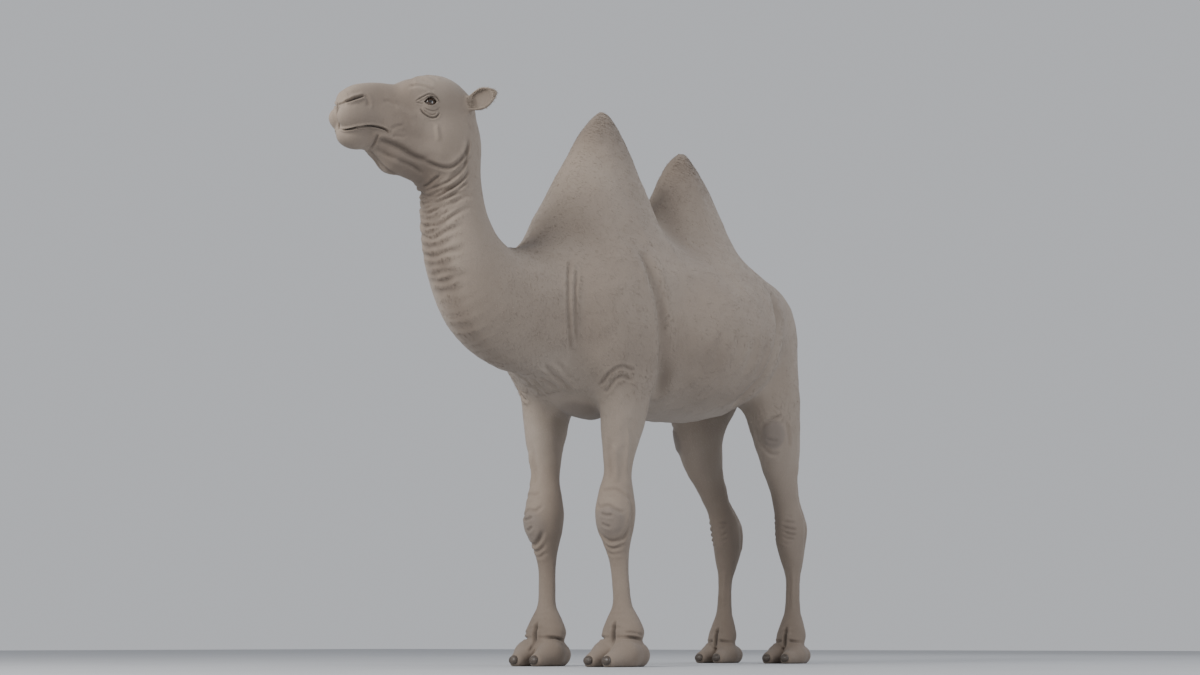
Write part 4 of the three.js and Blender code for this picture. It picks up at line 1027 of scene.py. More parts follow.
class Nodes:
    """A material's or a group's node tree, with a short way to add and join nodes."""

    def __init__(self, tree):
        self.tree = tree

    def add(self, kind, inputs=None, **settings):
        """A node with its settings, and each named or numbered input set or joined."""
        node = self.tree.nodes.new(kind)
        for name, value in settings.items():
            setattr(node, name, value)
        for name, value in (inputs or {}).items():
            if isinstance(value, bpy.types.NodeSocket):
                self.tree.links.new(value, node.inputs[name])
            else:
                node.inputs[name].default_value = value
        return node

    def ramp(self, value, stops):
        """Colours or greys at places along a value."""
        node = self.add("ShaderNodeValToRGB", {0: value})
        while len(node.color_ramp.elements) < len(stops):
            node.color_ramp.elements.new(.5)
        for element, (at, colour) in zip(node.color_ramp.elements, stops):
            element.position = at
            element.color = colour if isinstance(colour, tuple) else (colour,) * 3 + (1,)
        return node.outputs[0]

    def mix(self, factor, a, b, blend_type="MIX"):
        """Two colours mixed."""
        node = self.add("ShaderNodeMix", data_type="RGBA", blend_type=blend_type)
        for name, value in (("Factor_Float", factor), ("A_Color", a), ("B_Color", b)):
            socket = next(s for s in node.inputs if s.identifier == name)
            if isinstance(value, bpy.types.NodeSocket):
                self.tree.links.new(value, socket)
            else:
                socket.default_value = value
        return next(s for s in node.outputs if s.identifier == "Result_Color")

    def math(self, operation, a, b=0.):
        """Arithmetic on two values."""
        return self.add("ShaderNodeMath", {0: a, 1: b}, operation=operation).outputs[0]

    def noise(self, vector, scale, detail, roughness=.5, distortion=0.):
        """Soft noise, about 0 to 1."""
        return self.add("ShaderNodeTexNoise", {"Vector": vector, "Scale": scale, "Detail": detail,
                                               "Roughness": roughness, "Distortion": distortion}).outputs[0]

    def place(self):
        """The object's own places, in metres."""
        return self.add("ShaderNodeTexCoord").outputs["Object"]

    def attribute(self, name):
        """A value kept at each point of the mesh."""
        return self.add("ShaderNodeAttribute", attribute_name=name).outputs["Fac"]

    def group(self, group, inputs):
        """A node group placed in the tree, joined to its inputs."""
        return self.add("ShaderNodeGroup", inputs, node_tree=group).outputs[0]

    def bump(self, strength, distance, height):
        """A height as a normal."""
        inputs = {"Strength": strength, "Distance": distance, "Height": height}
        return self.add("ShaderNodeBump", inputs).outputs[0]

    def surface(self, inputs):
        """A shader with its inputs, joined to the output."""
        shader = self.add("ShaderNodeBsdfPrincipled", inputs)
        self.add("ShaderNodeOutputMaterial", {0: shader.outputs[0]})


def new_material(name):
    """An empty material and its nodes."""
    material = bpy.data.materials.new(name)
    material.use_nodes = True
    material.node_tree.nodes.clear()
    return material, Nodes(material.node_tree)


def new_group(name, value, result, kind):
    """A node group that takes a place and a value, with its nodes, its two inputs and its end."""
    group = bpy.data.node_groups.new(name, "ShaderNodeTree")
    for socket, way, socket_kind in (("Place", "INPUT", "Vector"), (value, "INPUT", "Float"),
                                     (result, "OUTPUT", kind)):
        group.interface.new_socket(socket, in_out=way, socket_type="NodeSocket" + socket_kind)
    n = Nodes(group)
    given, out = n.add("NodeGroupInput"), n.add("NodeGroupOutput")
    return group, n, given.outputs["Place"], given.outputs[value], out.inputs[0]


def coat_colour_group():
    """The coat's colour at a place: dark, plain or pale by its tone, then flecked and weathered."""
    group, n, place, level, end = new_group("Coat colour", "Tone", "Colour", "Color")
    cloud = n.noise(place, *CLOUDS)
    level = n.math("MULTIPLY_ADD", level, .5)
    level.node.inputs[2].default_value = .5
    level = n.math("ADD", level, n.math("MULTIPLY", n.math("SUBTRACT", cloud, .5), CLOUD_SHARE))
    colour = n.ramp(level, [(0, PALE_HAIR + (1,)), (.5, HAIR + (1,)), (1, DARK_HAIR + (1,))])
    fleck = n.ramp(n.noise(place, *FLECKS), FLECK_TONE)
    n.tree.links.new(n.mix(1., colour, fleck, "MULTIPLY"), end)
    return group


def hair_relief_group():
    """Short hair as a height: noise drawn out along the way the hair lies, in locks and in strands."""
    group, n, place, upright, end = new_group("Hair relief", "Upright", "Height", "Float")
    heights = []
    for stretch in ((1, HAIR_DRAWN, 1), (1, 1, HAIR_DRAWN)):
        drawn_out = n.add("ShaderNodeVectorMath", {0: place, 1: stretch}, operation="MULTIPLY").outputs[0]
        strands = n.math("MULTIPLY", n.noise(drawn_out, *STRANDS), STRAND_SHARE)
        locks = n.math("MULTIPLY", n.noise(drawn_out, *LOCKS), LOCK_SHARE)
        heights.append(n.math("ADD", strands, locks))
    node = n.add("ShaderNodeMix", {0: upright, 2: heights[0], 3: heights[1]})
    n.tree.links.new(node.outputs[0], end)
    return group


COAT_COLOUR, HAIR_RELIEF = coat_colour_group(), hair_relief_group()


def hide_material():
    """The hide: coat colour, painted with shade in its folds, hairless and cracked on the pads, soft hair
    relief.
    """
    material, n = new_material("camel hide")
    place = n.place()
    shade, bare = n.attribute("shade"), n.attribute("bare")
    colour = n.group(COAT_COLOUR, {"Place": place, "Tone": n.attribute("tone")})
    stray = n.add("ShaderNodeTexNoise", {"Vector": place, "Scale": CRACK_STRAY_SCALE}).outputs[1]
    cracks = n.add("ShaderNodeTexVoronoi", {"Vector": n.mix(CRACK_STRAY, place, stray),
                                            "Scale": CRACK_SCALE}, feature="DISTANCE_TO_EDGE")
    crack = n.ramp(cracks.outputs["Distance"], CRACK_TONE)
    leather = n.mix(crack, CRACKED_SKIN + (1,), BARE_SKIN + (1,))
    colour = n.mix(n.math("MULTIPLY", bare, LEATHER), colour, leather)
    # Painted shade in folds, creases and the ear's hollow, darkest in the deepest
    colour = n.mix(n.ramp(shade, PAINTED_SHADE_RAMP), colour, FOLD_PAINTED_SHADE + (1,))
    relief = n.group(HAIR_RELIEF, {"Place": place, "Upright": n.attribute("upright")})
    leathery = n.math("MULTIPLY", crack, CRACK_HEIGHT)
    soft = n.add("ShaderNodeMix", {0: bare, 2: relief, 3: leathery}).outputs[0]
    height = n.math("ADD", n.math("MULTIPLY", soft, SOFT_SHARE),
                    n.math("MULTIPLY", n.noise(place, *WRINKLES), WRINKLE_SHARE))
    rough = n.ramp(relief, HIDE_ROUGHNESS)
    n.surface({"Base Color": colour, "Roughness": rough, "Normal": n.bump(*HIDE_BUMP, height),
               "Specular IOR Level": .32, "Sheen Weight": .10, "Sheen Roughness": .6})
    return material


def new_piece(name, points, faces, material, values=None, slot="coat"):
    """A mesh object at the origin, riding on the root, with values kept at its points."""
    mesh = bpy.data.meshes.new(name)
    corners, size = np.concatenate(faces), np.array([len(face) for face in faces])
    mesh.vertices.add(len(points))
    mesh.vertices.foreach_set("co", np.ravel(points).astype(np.float32))
    mesh.loops.add(size.sum())
    mesh.loops.foreach_set("vertex_index", np.ravel(corners).astype(np.int32))
    mesh.polygons.add(len(size))
    mesh.polygons.foreach_set("loop_start", (np.cumsum(size) - size).astype(np.int32))
    mesh.update(calc_edges=True)
    for key, value in (values or {}).items():
        data = mesh.attributes.new(key, "FLOAT", "POINT").data
        data.foreach_set("value", np.asarray(value, np.float32))
    mesh.polygons.foreach_set("use_smooth", np.full(len(mesh.polygons), True))
    mesh.materials.append(material)
    piece = bpy.data.objects.new(name, mesh)
    bpy.context.scene.collection.objects.link(piece)
    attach(piece, "root")
    return piece


net, skin_faces = skin_net()
skin_points, shade, bare, in_ear_hollow = fold(net, skin_faces)
# Painted shade in the ear's hollow
shade = np.maximum(shade, EAR_SHADE * in_ear_hollow)
upright = np.maximum(fade(skin_points[:, 2], *UPRIGHT[0]), fade(skin_points[:, 1], *UPRIGHT[1]))
skin = new_piece("skin", skin_points + PLACE, skin_faces, hide_material(),
                 {"shade": shade, "bare": bare, "tone": tone(skin_points), "upright": upright})
LEGS = [pair + side for pair in ("foreleg", "hind_leg") for side in ("_left", "_right")]
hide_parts("trunk", "hump_front", "hump_rear", "neck_lower", "neck_middle", "neck_upper",
            "head", "ear_left", "ear_right", "tail", "tail_tuft",
            *[leg_name + part for leg_name in LEGS for part in ("_upper", "_lower", "_foot")])


# ---------------------------------------------------------------------------------------------
# The eyes
#
# Dark brown balls set deep between the lids, wet and clear, with a pupil that lies level.

IRIS_RADIUS = .0125
PUPIL = .0095, .0042        # half its length and half its height
CORNEA = .0016              # how far the clear front stands off the ball
IRIS_DARK, IRIS_PALE = (.020, .010, .005, 1), (.075, .036, .016, 1)
WHITE_DARK, WHITE_PALE = (.045, .028, .020, 1), (.120, .085, .062, 1)
PUPIL_COLOUR = (.0025, .002, .002, 1)
CORNEA_EDGE = .5, 1.25      # where it begins and ends to fall back, in the iris's radii


def ball_angles(rings, segments):
    """The angles round a ball's pole and down from it, of rings that leave out both poles."""
    return np.linspace(0, 2 * np.pi, segments, endpoint=False), np.linspace(0, np.pi, rings + 1)[1:-1]


def ball_faces(rings, segments):
    """The faces of a closed ball: quads between its rings, and triangles to the poles, its last points."""
    i = np.arange((rings - 2) * segments).reshape(rings - 2, segments)
    j = np.roll(i, -1, 1)
    quads = np.stack([i, i + segments, j + segments, j], -1).reshape(-1, 4)
    first, last = np.arange(segments), (rings - 2) * segments + np.arange(segments)
    top = (rings - 1) * segments
    caps = [np.stack([first, np.roll(first, -1), np.full(segments, top)], 1),
            np.stack([np.roll(last, -1), last, np.full(segments, top + 1)], 1)]
    return quads.tolist() + np.concatenate(caps).tolist()


def eye_ball(rings=48, segments=64):
    """A ball whose pole looks out, as rings of points, with its front swollen over the iris."""
    turn, fall = ball_angles(rings, segments)
    edge = [IRIS_RADIUS * share for share in CORNEA_EDGE]
    radius = EYE_RADIUS + CORNEA * fade(EYE_RADIUS * np.sin(fall), *edge) * (fall < np.pi / 2)
    x = radius[:, None] * np.sin(fall)[:, None] * np.cos(turn)
    y = radius[:, None] * np.sin(fall)[:, None] * np.sin(turn)
    z = np.repeat((radius * np.cos(fall))[:, None], segments, 1)
    points = np.stack([x, y, z], -1).reshape(-1, 3)
    points = np.concatenate([points, [[0, 0, EYE_RADIUS + CORNEA], [0, 0, -EYE_RADIUS]]])
    return points, ball_faces(rings, segments)


def eye_material():
    """A dark iris with fine spokes round a long level pupil, a dark white, and a wet coat."""
    material, n = new_material("camel eye")
    across, up = n.attribute("across"), n.attribute("up")
    off = n.math("SQRT", n.math("ADD", n.math("MULTIPLY", across, across), n.math("MULTIPLY", up, up)))
    wide = n.math("DIVIDE", across, PUPIL[0])
    high = n.math("DIVIDE", up, PUPIL[1])
    pupil = n.math("ADD", n.math("MULTIPLY", wide, wide), n.math("MULTIPLY", high, high))
    pupil = n.ramp(pupil, [(.8, 0.), (1., 1.)])
    place = n.place()
    spokes = n.ramp(n.noise(place, 700, 3, .7), [(.3, IRIS_DARK), (.7, IRIS_PALE)])
    white = n.ramp(n.noise(place, 260, 4, .6), [(.3, WHITE_DARK), (.75, WHITE_PALE)])
    ring = n.ramp(n.math("DIVIDE", off, IRIS_RADIUS), [(.86, 0.), (1., 1.)])
    colour = n.mix(ring, spokes, white)
    colour = n.mix(pupil, PUPIL_COLOUR, colour)
    rough = n.ramp(n.noise(place, 150, 2), [(.3, .05), (.7, .09)])
    n.surface({"Base Color": colour, "Roughness": rough, "Coat Weight": 1., "Coat Roughness": .02})
    return material


EYE_AXES = np.array([EYE_FRONT, np.cross(EYE_FRONT, EYE_OUT), EYE_OUT])     # as in_eye orders them
eye_finish = eye_material()
ball_points, eye_faces = eye_ball()
for side, eye_name in ((1, "left"), (-1, "right")):
    placed = EYE + ball_points @ EYE_AXES
    placed[:, 1] *= side
    faces = [face[::-1] if side == -1 else face for face in eye_faces]
    eye = new_piece("eye_ball_" + eye_name, from_head(placed) + PLACE, faces, eye_finish,
                    {"across": ball_points[:, 0], "up": ball_points[:, 1]}, "eye")
    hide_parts("eye_" + eye_name)


# ---------------------------------------------------------------------------------------------
# The eyelashes
#
# A double row of long dark lashes on each upper lid and a short row on the lower one keep sand out.

LASH_ROWS = [               # count, length, droop, spread, on which lid (1 upper, -1 lower), out
    (44, .021, .35, .55, 1, .0030),
    (38, .017, .15, .65, 1, .0015),
    (26, .008, -.40, .60, -1, .0020),
]
LASH_RADIUS = .00042
LASH_DARK, LASH_PALE = (.012, .008, .006, 1), (.050, .033, .023, 1)
LASH_SEED = 21
LASH_LID = .93, .94         # how far a row runs to the lid's corners, and how far out those are
LASH_STRAY = .012, .06      # how uneven their places and their ways are
LASH_DROOP = .6             # how much of the droop is in the way they start
LASH_BEND = .3, .45, -.25   # apart, up and in, over their length
LASH_SHORTER = .45          # how much shorter they are at the lid's corners
LASH_LENGTHS = .8, 1.15     # the shortest and the longest, as a share
SPIKE_SIDES = 3
SPIKE_ROOT, SPIKE_MIDDLE = .55, 1.1                             # the radius, as a share


def spikes(roots, ways, bends, lengths, radii, parts=4, tops=None, flatness=1.):
    """
    Thin pointed hairs or tufts as one closed mesh. Each is a profile of three sides on a parabola:
    root + way s + bend s^2, with s the length so far, and a radius that falls to a point. Where
    the way its top faces is given, the profile is flattened that way, with a ridge on top.
    """
    count = len(roots)
    t = np.linspace(0, 1, parts + 1)[:-1]
    s = (t[None] * lengths[:, None])[..., None]
    path = roots[:, None] + ways[:, None] * s + bends[:, None] * s * t[None, :, None]
    helper = np.where(np.abs(ways[:, 2:]) > .8, [[1., 0, 0]], [[0, 0, 1.]]) if tops is None else tops
    across = np.cross(ways, helper)
    across /= np.linalg.norm(across, axis=1, keepdims=True)
    other = flatness * np.cross(ways, across)
    turn = np.linspace(0, 2 * np.pi, SPIKE_SIDES, endpoint=False) - np.pi / 2
    around = (np.cos(turn)[None, :, None] * across[:, None] + np.sin(turn)[None, :, None] * other[:, None])
    radius = radii[:, None] * (1 - t**2)[None] * np.where(t == 0, SPIKE_ROOT, SPIKE_MIDDLE)
    rings = path[:, :, None] + around[:, None] * radius[:, :, None, None]
    tips = roots + (ways + bends) * lengths[:, None]
    points = np.concatenate([rings.reshape(count, -1, 3), tips[:, None]], 1)
    each = parts * SPIKE_SIDES + 1
    i = np.arange(parts * SPIKE_SIDES).reshape(parts, SPIKE_SIDES)
    j = np.roll(i, -1, 1)
    quads = np.stack([i[:-1], j[:-1], j[1:], i[1:]], -1).reshape(-1, 4)
    walls = np.concatenate([quads[:, [0, 1, 2]], quads[:, [0, 2, 3]]])
    cap = np.stack([i[-1], j[-1], np.full(SPIKE_SIDES, each - 1)], 1)
    faces = np.concatenate([walls, cap, i[0][::-1][None]])
    return points.reshape(-1, 3), (faces[None] + each * np.arange(count)[:, None, None]).reshape(-1, 3)


def lid_edge(t, lid, out):
    """Head places along a lid's edge: the eye opening's parabola, on the lid's ball."""
    half, high, low = EYE_OPENING
    along = half * t * LASH_LID[1]
    up = (high if lid == 1 else low) * (1 - t * t)
    lift = np.sqrt(LID_RADIUS**2 - along**2 - up**2) - out
    return EYE + np.stack([along, up, lift], 1) @ EYE_AXES


def lashes(side):
    """All the lashes of one eye."""
    random = np.random.default_rng(LASH_SEED)
    rows = []
    for count, length, droop, spread, lid, out in LASH_ROWS:
        t = np.linspace(-LASH_LID[0], LASH_LID[0], count) + random.normal(0, LASH_STRAY[0], count)
        ways = np.stack([spread * t, np.full(count, -droop * LASH_DROOP), np.ones(count)], 1)
        ways += random.normal(0, LASH_STRAY[1], (count, 3))
        ways /= np.linalg.norm(ways, axis=1, keepdims=True)
        apart, up, inward = LASH_BEND
        bends = np.stack([apart * t, np.full(count, up * lid), np.full(count, inward)], 1)
        lengths = length * (1 - LASH_SHORTER * t * t) * random.uniform(*LASH_LENGTHS, count)
        rows.append((lid_edge(t, lid, out), ways @ EYE_AXES, bends @ EYE_AXES, lengths))
    roots, ways, bends, lengths = (np.concatenate(row) for row in zip(*rows))
    for values in (roots, ways, bends):
        values[:, 1] *= side
    return spikes(from_head(roots) + PLACE, ways @ HEAD_AXES, bends @ HEAD_AXES, lengths,
                  np.full(len(roots), LASH_RADIUS))


def lash_material():
    """Dark brown hair, a little paler where it is worn."""
    material, n = new_material("camel lashes")
    colour = n.ramp(n.noise(n.place(), 300, 2), [(.3, LASH_DARK), (.8, LASH_PALE)])
    n.surface({"Base Color": colour, "Roughness": .45})
    return material


lash_finish = lash_material()
for side, eye_name in ((1, "left"), (-1, "right")):
    points, faces = lashes(side)
    new_piece("lashes_" + eye_name, points, faces, lash_finish, slot="dark_coat")


# ---------------------------------------------------------------------------------------------
# The coat's tufts
#
# The summer coat is short and lies flat, from nose to tail and down the legs. Its tufts are joined
# meshes rooted in the skin. The longest are the brush of the tail and those on the humps' tips.

TUFTS = 17700               # in each piece of the coat
COATS = {                   # how long and how thick each piece's longest tufts are
    "coat_head": (.0110, .00048),
    "coat_neck": (.0230, .00085),
    "coat_chest": (.0250, .00100),
    "coat_flank_left": (.0250, .00100),
    "coat_flank_right": (.0250, .00100),
    "coat_humps": (.0260, .00100),
    "coat_forelegs": (.0230, .00070),
    "coat_hind_legs": (.0230, .00070),
}
BRUSH = 1700, .100, .0011   # the tail's: how many, how long, how thick
EAR_HAIRS = 1400, .016, .00030
COAT_SEED = 5
TUFT_PATCH = .003           # size of a tuft's patch on the coat's own map
LIFT = .05, .11             # how far tufts rise off the skin, as a slope: least and most
FLATNESS = .35              # how thick a tuft is, as a share of its width
ROOT_DEPTH = .9             # how deep a tuft is rooted, in thicknesses
STRAY, TONE_STRAY = .13, .12                                    # how uneven ways and tones are
BEND, BEND_STRAY = -.09, .03                                    # back to the skin, over their length
LENGTHS, THICKNESSES = (.70, 1.15), (.7, 1.2)                   # least and most, as a share
THINNEST = .5               # the thickness of the shortest hair, as a share of the longest's
BRUSH_AT = (-.93, -.90), (1.06, 1.16)                           # where it begins: minus y, and z
BRUSH_STRAY, BRUSH_LIFT, BRUSH_BEND = .10, (.05, .30), .08
BRUSH_DROP = [0, 0, .25]
BRUSH_LENGTHS, BRUSH_SHORTER = (.45, 1.), (1.02, 1.40)          # as a share, and fading upward
BRUSH_TONE, BRUSH_TONE_STRAY = .75, .2
EAR_RIM = .35, .20, .33     # grow where the hollow is this deep, less towards these far from it
EAR_HAIR_STRAY, EAR_HAIR_LIFT, EAR_HAIR_BEND = .25, (.1, .5), .10
EAR_HAIR_LENGTHS, EAR_HAIR_THICKNESSES = (.4, 1.), (.8, 1.2)
EAR_HAIR_TONE, EAR_HAIR_TONE_STRAY = -.5, .2
NOT_SHADED, NOT_BARE = 1.6, 1.5                                 # how fast hair gives way to these
LID_FREE = -.031, -.024     # no tufts this near the eye's middle: minus the distance
GROUND_FREE = -.030, -.012  # nor this near the floor: minus the height
WORN_AT, WORN_OVER, WORN = .54, (.11, .17), .8                  # knee and hock: height, reach, how much
HEAD_FROM = .03, 1.62       # the head's coat: forward of this in its frame, and above this
NECK_FROM = -.93, 1.0       # the neck's: in front of this, and above this
CHEST_FROM = -.42
HUMPS_FROM = -1.0, 1.62     # behind this, and above this
FORELEG_FROM = 1.0, .04     # below this, and this far out
HIND_LEG_FROM = 1.03
LEGS_DIVIDE = .1            # the forelegs are in front of this, the hind legs behind it
# The way the hair lies on each region, in body axes or the head's, and where the region fades out
LIE_BODY = 0., .75, -.55
LIE_LEG, ON_LEG = (0, .12, -1), (.85, 1.05)
LIE_NECK, ON_NECK = (0, .25, -1), (-.98, -.86)
LIE_TAIL, ON_TAIL = (0, .1, -1), (-.90, -.84)
LIE_HEAD, ON_HEAD, OVER_THROAT = (-.9, -.25), (.02, .10), (-1.66, -1.58)
# What each region adds to the hair's share of length, and the measures between which it fades out:
# minus the place forward in the head for the throat and the muzzle, distance, or height
HAIR_PLAIN = .62
HAIR_THROAT = -.18, .02, .10
HAIR_MUZZLE = -.27, -.42, -.22
HAIR_CROWN = .38, .03, .09
HAIR_HUMPS = .38, .05, .22
HAIR_ELBOWS = .20, .02, .10
HAIR_LEGS = -.26, .75, 1.10
HAIR_FEET = -.16, .12, .40
HAIR_NECK = .22, (-1.30, -1.20), (.03, .08), 1.60               # in front, in a strip, below this
CROWN = (.10, 0, .155), (1, .6, .5)                             # its middle in the head, and its shape
ELBOWS_AT = 1.02
# The lines that the coat's map is unwrapped about, where each begins, and its length
TRUNK_LINE = 1.35, .95, 2.1                                     # height, start in front, length
NECK_LINE = 1.36, .2, 1.5, 1.0, 1.1                             # forward, lean below a height, foot, length
HEAD_LENGTH = .56
LEG_LINES = [(1, -.59), (-1, -.59), (1, .66), (-1, .66)]        # side and place of each leg's line
LEG_OUT, LEG_INNER, LEG_BACK = .17, .02, .86
MAP_ROWS, MAP_EDGE, MAP_WIDTH = 4, .01, .97


def lie_of_coat(p, normal):
    """The way the hair lies along the skin: back from the nose, back and down the body and legs."""
    q = in_head(p)
    on_head = fade(-q[:, 0], *ON_HEAD) * fade(-p[:, 2], *OVER_THROAT)
    on_neck = fade(p[:, 1], *ON_NECK) * (1 - on_head)
    on_leg, on_tail = fade(p[:, 2], *ON_LEG), fade(-p[:, 1], *ON_TAIL)
    back_from_nose = LIE_HEAD[0] * HEAD_AXES[0] + LIE_HEAD[1] * HEAD_AXES[2]
    way = np.tile(LIE_BODY, (len(p), 1))
    for share, to in ((on_leg, LIE_LEG), (on_neck, LIE_NECK), (on_tail, LIE_TAIL),
                      (on_head, back_from_nose)):
        way = way * (1 - share[:, None]) + np.multiply(to, share[:, None])
    way -= (way * normal).sum(1, keepdims=True) * normal
    return way / np.maximum(np.linalg.norm(way, axis=1, keepdims=True), 1e-6)


def head_and_neck(p):
    """Which places are on the head, and which on the neck or the head."""
    on_head = (in_head(p)[:, 0] > HEAD_FROM[0]) & (p[:, 2] > HEAD_FROM[1])
    return on_head, (p[:, 1] < NECK_FROM[0]) & (p[:, 2] > NECK_FROM[1])


def coat_region(p):
    """Which piece of the coat a place belongs to, by its number in COATS."""
    x, y, z = p.T
    names = list(COATS)
    region = np.where(x > 0, names.index("coat_flank_left"), names.index("coat_flank_right"))
    on_head, on_neck = head_and_neck(p)
    for name, here in (("coat_chest", y < CHEST_FROM),
                       ("coat_humps", (z > HUMPS_FROM[1]) & (y > HUMPS_FROM[0])),
                       ("coat_neck", on_neck),
                       ("coat_head", on_head),
                       ("coat_forelegs", (z < FORELEG_FROM[0]) & (y < LEGS_DIVIDE)
                        & (np.abs(x) > FORELEG_FROM[1])),
                       ("coat_hind_legs", (z < HIND_LEG_FROM) & (y >= LEGS_DIVIDE))):
        region[here] = names.index(name)
    return region


def hair_length(p):
    """The hair's length as a share of its piece's longest: short on face, shins and feet."""
    q = in_head(p)

    def added(measure, region):
        much, near_to, far_from = region
        return much * fade(measure, near_to, far_from)
    share = HAIR_PLAIN + added(-q[:, 0], HAIR_THROAT) * (p[:, 2] < HEAD_FROM[1]) * (p[:, 1] < -1)
    share += added(-q[:, 0], HAIR_MUZZLE) * (p[:, 2] > HEAD_FROM[1])
    share += added(away_from(q, *CROWN), HAIR_CROWN)
    for (y, z), _ in HUMPS:
        share += added(away_from(p, (0, y, z)), HAIR_HUMPS)
    much, front, strip, top = HAIR_NECK
    share += much * (fade(p[:, 1], *front) * fade(np.abs(p[:, 0]), *strip) * (p[:, 2] < top))
    share += added(np.abs(p[:, 2] - ELBOWS_AT), HAIR_ELBOWS)
    return share + added(p[:, 2], HAIR_LEGS) + added(p[:, 2], HAIR_FEET)


def roots_on(points, triangles, weight, count, random):
    """Corners of picked triangles and their shares, so that roots spread by area times weight."""
    a, b, c = (points[triangles[:, k]] for k in range(3))
    share = np.linalg.norm(np.cross(b - a, c - a), axis=1) * weight[triangles].mean(1)
    edges = np.cumsum(share) / share.sum()
    picked = np.searchsorted(edges, (np.arange(count) + random.uniform(0, 1, count)) / count)
    picked = triangles[np.minimum(picked, len(triangles) - 1)]
    u = np.sqrt(random.uniform(0, 1, count))
    v = random.uniform(0, 1, count)
    return picked, np.stack([1 - u, u * (1 - v), u * v], 1)


def coat_map(p):
    """
    Places on an unwrap of the skin: the head, the neck, the trunk and tail, and each leg have a
    cell each, across it the turn about the limb's own line and up it the way along that line.
    """
    x, y, z = p.T
    q = in_head(p)
    turn = lambda a, b: np.arctan2(a, b) / (2 * np.pi) + .5
    on_head, on_neck = head_and_neck(p)
    forward, lean, bend, base, length = NECK_LINE
    cells = [(on_neck, turn(x, y + forward - lean * np.minimum(z - bend, 0)), (z - base) / length),
             (on_head, turn(q[:, 1], q[:, 2]), q[:, 0] / HEAD_LENGTH)]
    low = (z < FORELEG_FROM[0]) & (y < LEG_BACK)
    for side, middle in LEG_LINES:
        leg_here = low & (side * x > LEG_INNER) & ((y < LEGS_DIVIDE) == (middle < 0))
        cells.append((leg_here, turn(side * x - LEG_OUT, y - middle), z))
    height, start, length = TRUNK_LINE
    cell, across, along = np.full(len(p), 0), turn(x, z - height), (y + start) / length
    for number, (here, its_across, its_along) in enumerate(cells, 1):
        across, along = np.where(here, its_across, across), np.where(here, its_along, along)
        cell = np.where(here, number, cell)
    column, row = cell % 2, cell // 2
    inside = lambda v: MAP_EDGE + MAP_WIDTH * np.clip(v, 0, 1)
    return np.stack([(column + inside(across)) / 2, (row + inside(along)) / MAP_ROWS], 1)


def coat_material():
    """The tufts' hair: the coat's colour, darker at the root and paler at the worn tip, all painted lighter
    than the coat to offset the shade among the tufts.
    """
    material, n = new_material("camel coat")
    place = n.place()
    colour = n.group(COAT_COLOUR, {"Place": place, "Tone": n.attribute("tone")})
    # Painted light: every stop lifts the coat's colour to offset the shade the tufts fall in; the rise
    # towards the tip is the worn tip's paler hair
    along = n.ramp(n.attribute("along"), [(0, 1.08), (.5, 1.20), (1, 1.36)])
    rough = n.ramp(n.noise(place, 260, 2), [(.3, .55), (.7, .75)])
    n.surface({"Base Color": n.mix(1., colour, along, "MULTIPLY"), "Roughness": rough,
               "Specular IOR Level": .3, "Sheen Weight": .08})
    return material


def tuft_piece(name, roots, normals, ways, bends, lengths, radii, level, parts=2):
    """Many tufts as one mesh, with its tone, the place along each tuft and the coat's map."""
    sunk = roots - ROOT_DEPTH * FLATNESS * radii[:, None] * normals
    points, faces = spikes(sunk + PLACE, ways, bends, lengths, radii, parts, normals, FLATNESS)
    each = len(points) // len(roots)
    along = np.append(np.repeat(np.arange(parts) / parts, SPIKE_SIDES), 1)
    piece = new_piece(name, points, faces, coat_finish,
                      {"tone": np.repeat(level, each), "along": np.tile(along, len(roots))})
    side = np.append(np.tile([0, .5, 1], parts), .5)
    patch = TUFT_PATCH * np.stack([side, along], 1)
    places = np.repeat(coat_map(roots), each, 0) + np.tile(patch, (len(roots), 1))
    layer = piece.data.uv_layers.new(name="OFBake")
    layer.data.foreach_set("uv", places[faces.ravel()].ravel())


def planted(weight, count, random):
    """Roots over the skin by a weight at each of its points, and the skin's normals there."""
    picked, shares = roots_on(skin_points, skin_faces, weight + 1e-9, count, random)
    root, normal = ((values[picked] * shares[..., None]).sum(1) for values in (skin_points, skin_normals))
    return root, normal / np.linalg.norm(normal, axis=1, keepdims=True)


def leaning(way, normal, slopes):
    """Ways along the skin raised off it by a slope each, one long."""
    way = way + (slopes - (way * normal).sum(1))[:, None] * normal
    return way / np.linalg.norm(way, axis=1, keepdims=True)


coat_finish = coat_material()
random = np.random.default_rng(COAT_SEED)
skin_normals = normals_of(skin_points, skin_faces)
mirrored_head = in_head(skin_points)
mirrored_head[:, 1] = np.abs(mirrored_head[:, 1])
hairy = (1 - np.clip(NOT_SHADED * shade, 0, 1)) * (1 - np.clip(NOT_BARE * bare, 0, 1))
hairy = hairy * fade(-away_from(mirrored_head, EYE), *LID_FREE)
hairy *= fade(-skin_points[:, 2], *GROUND_FREE) * (1 - in_ear_hollow)
hairy *= 1 - WORN * fade(np.abs(skin_points[:, 2] - WORN_AT), *WORN_OVER)
region_of = coat_region(skin_points)
count = TUFTS
for number, (name, (longest, thick)) in enumerate(COATS.items()):
    root, normal = planted(hairy * (region_of == number), count, random)
    share = hair_length(root)
    length = longest * share * random.uniform(*LENGTHS, count)
    loose = random.normal(0, STRAY, (count, 3))
    way = leaning(lie_of_coat(root, normal) + loose, normal, random.uniform(*LIFT, count))
    bend = BEND * normal + random.normal(0, BEND_STRAY, (count, 3))
    fullness = THINNEST + (1 - THINNEST) * share / share.max()
    thickness = thick * random.uniform(*THICKNESSES, count) * fullness
    tuft_piece(name, root, normal, way, bend, length, thickness,
               tone(root) + random.normal(0, TONE_STRAY, count))

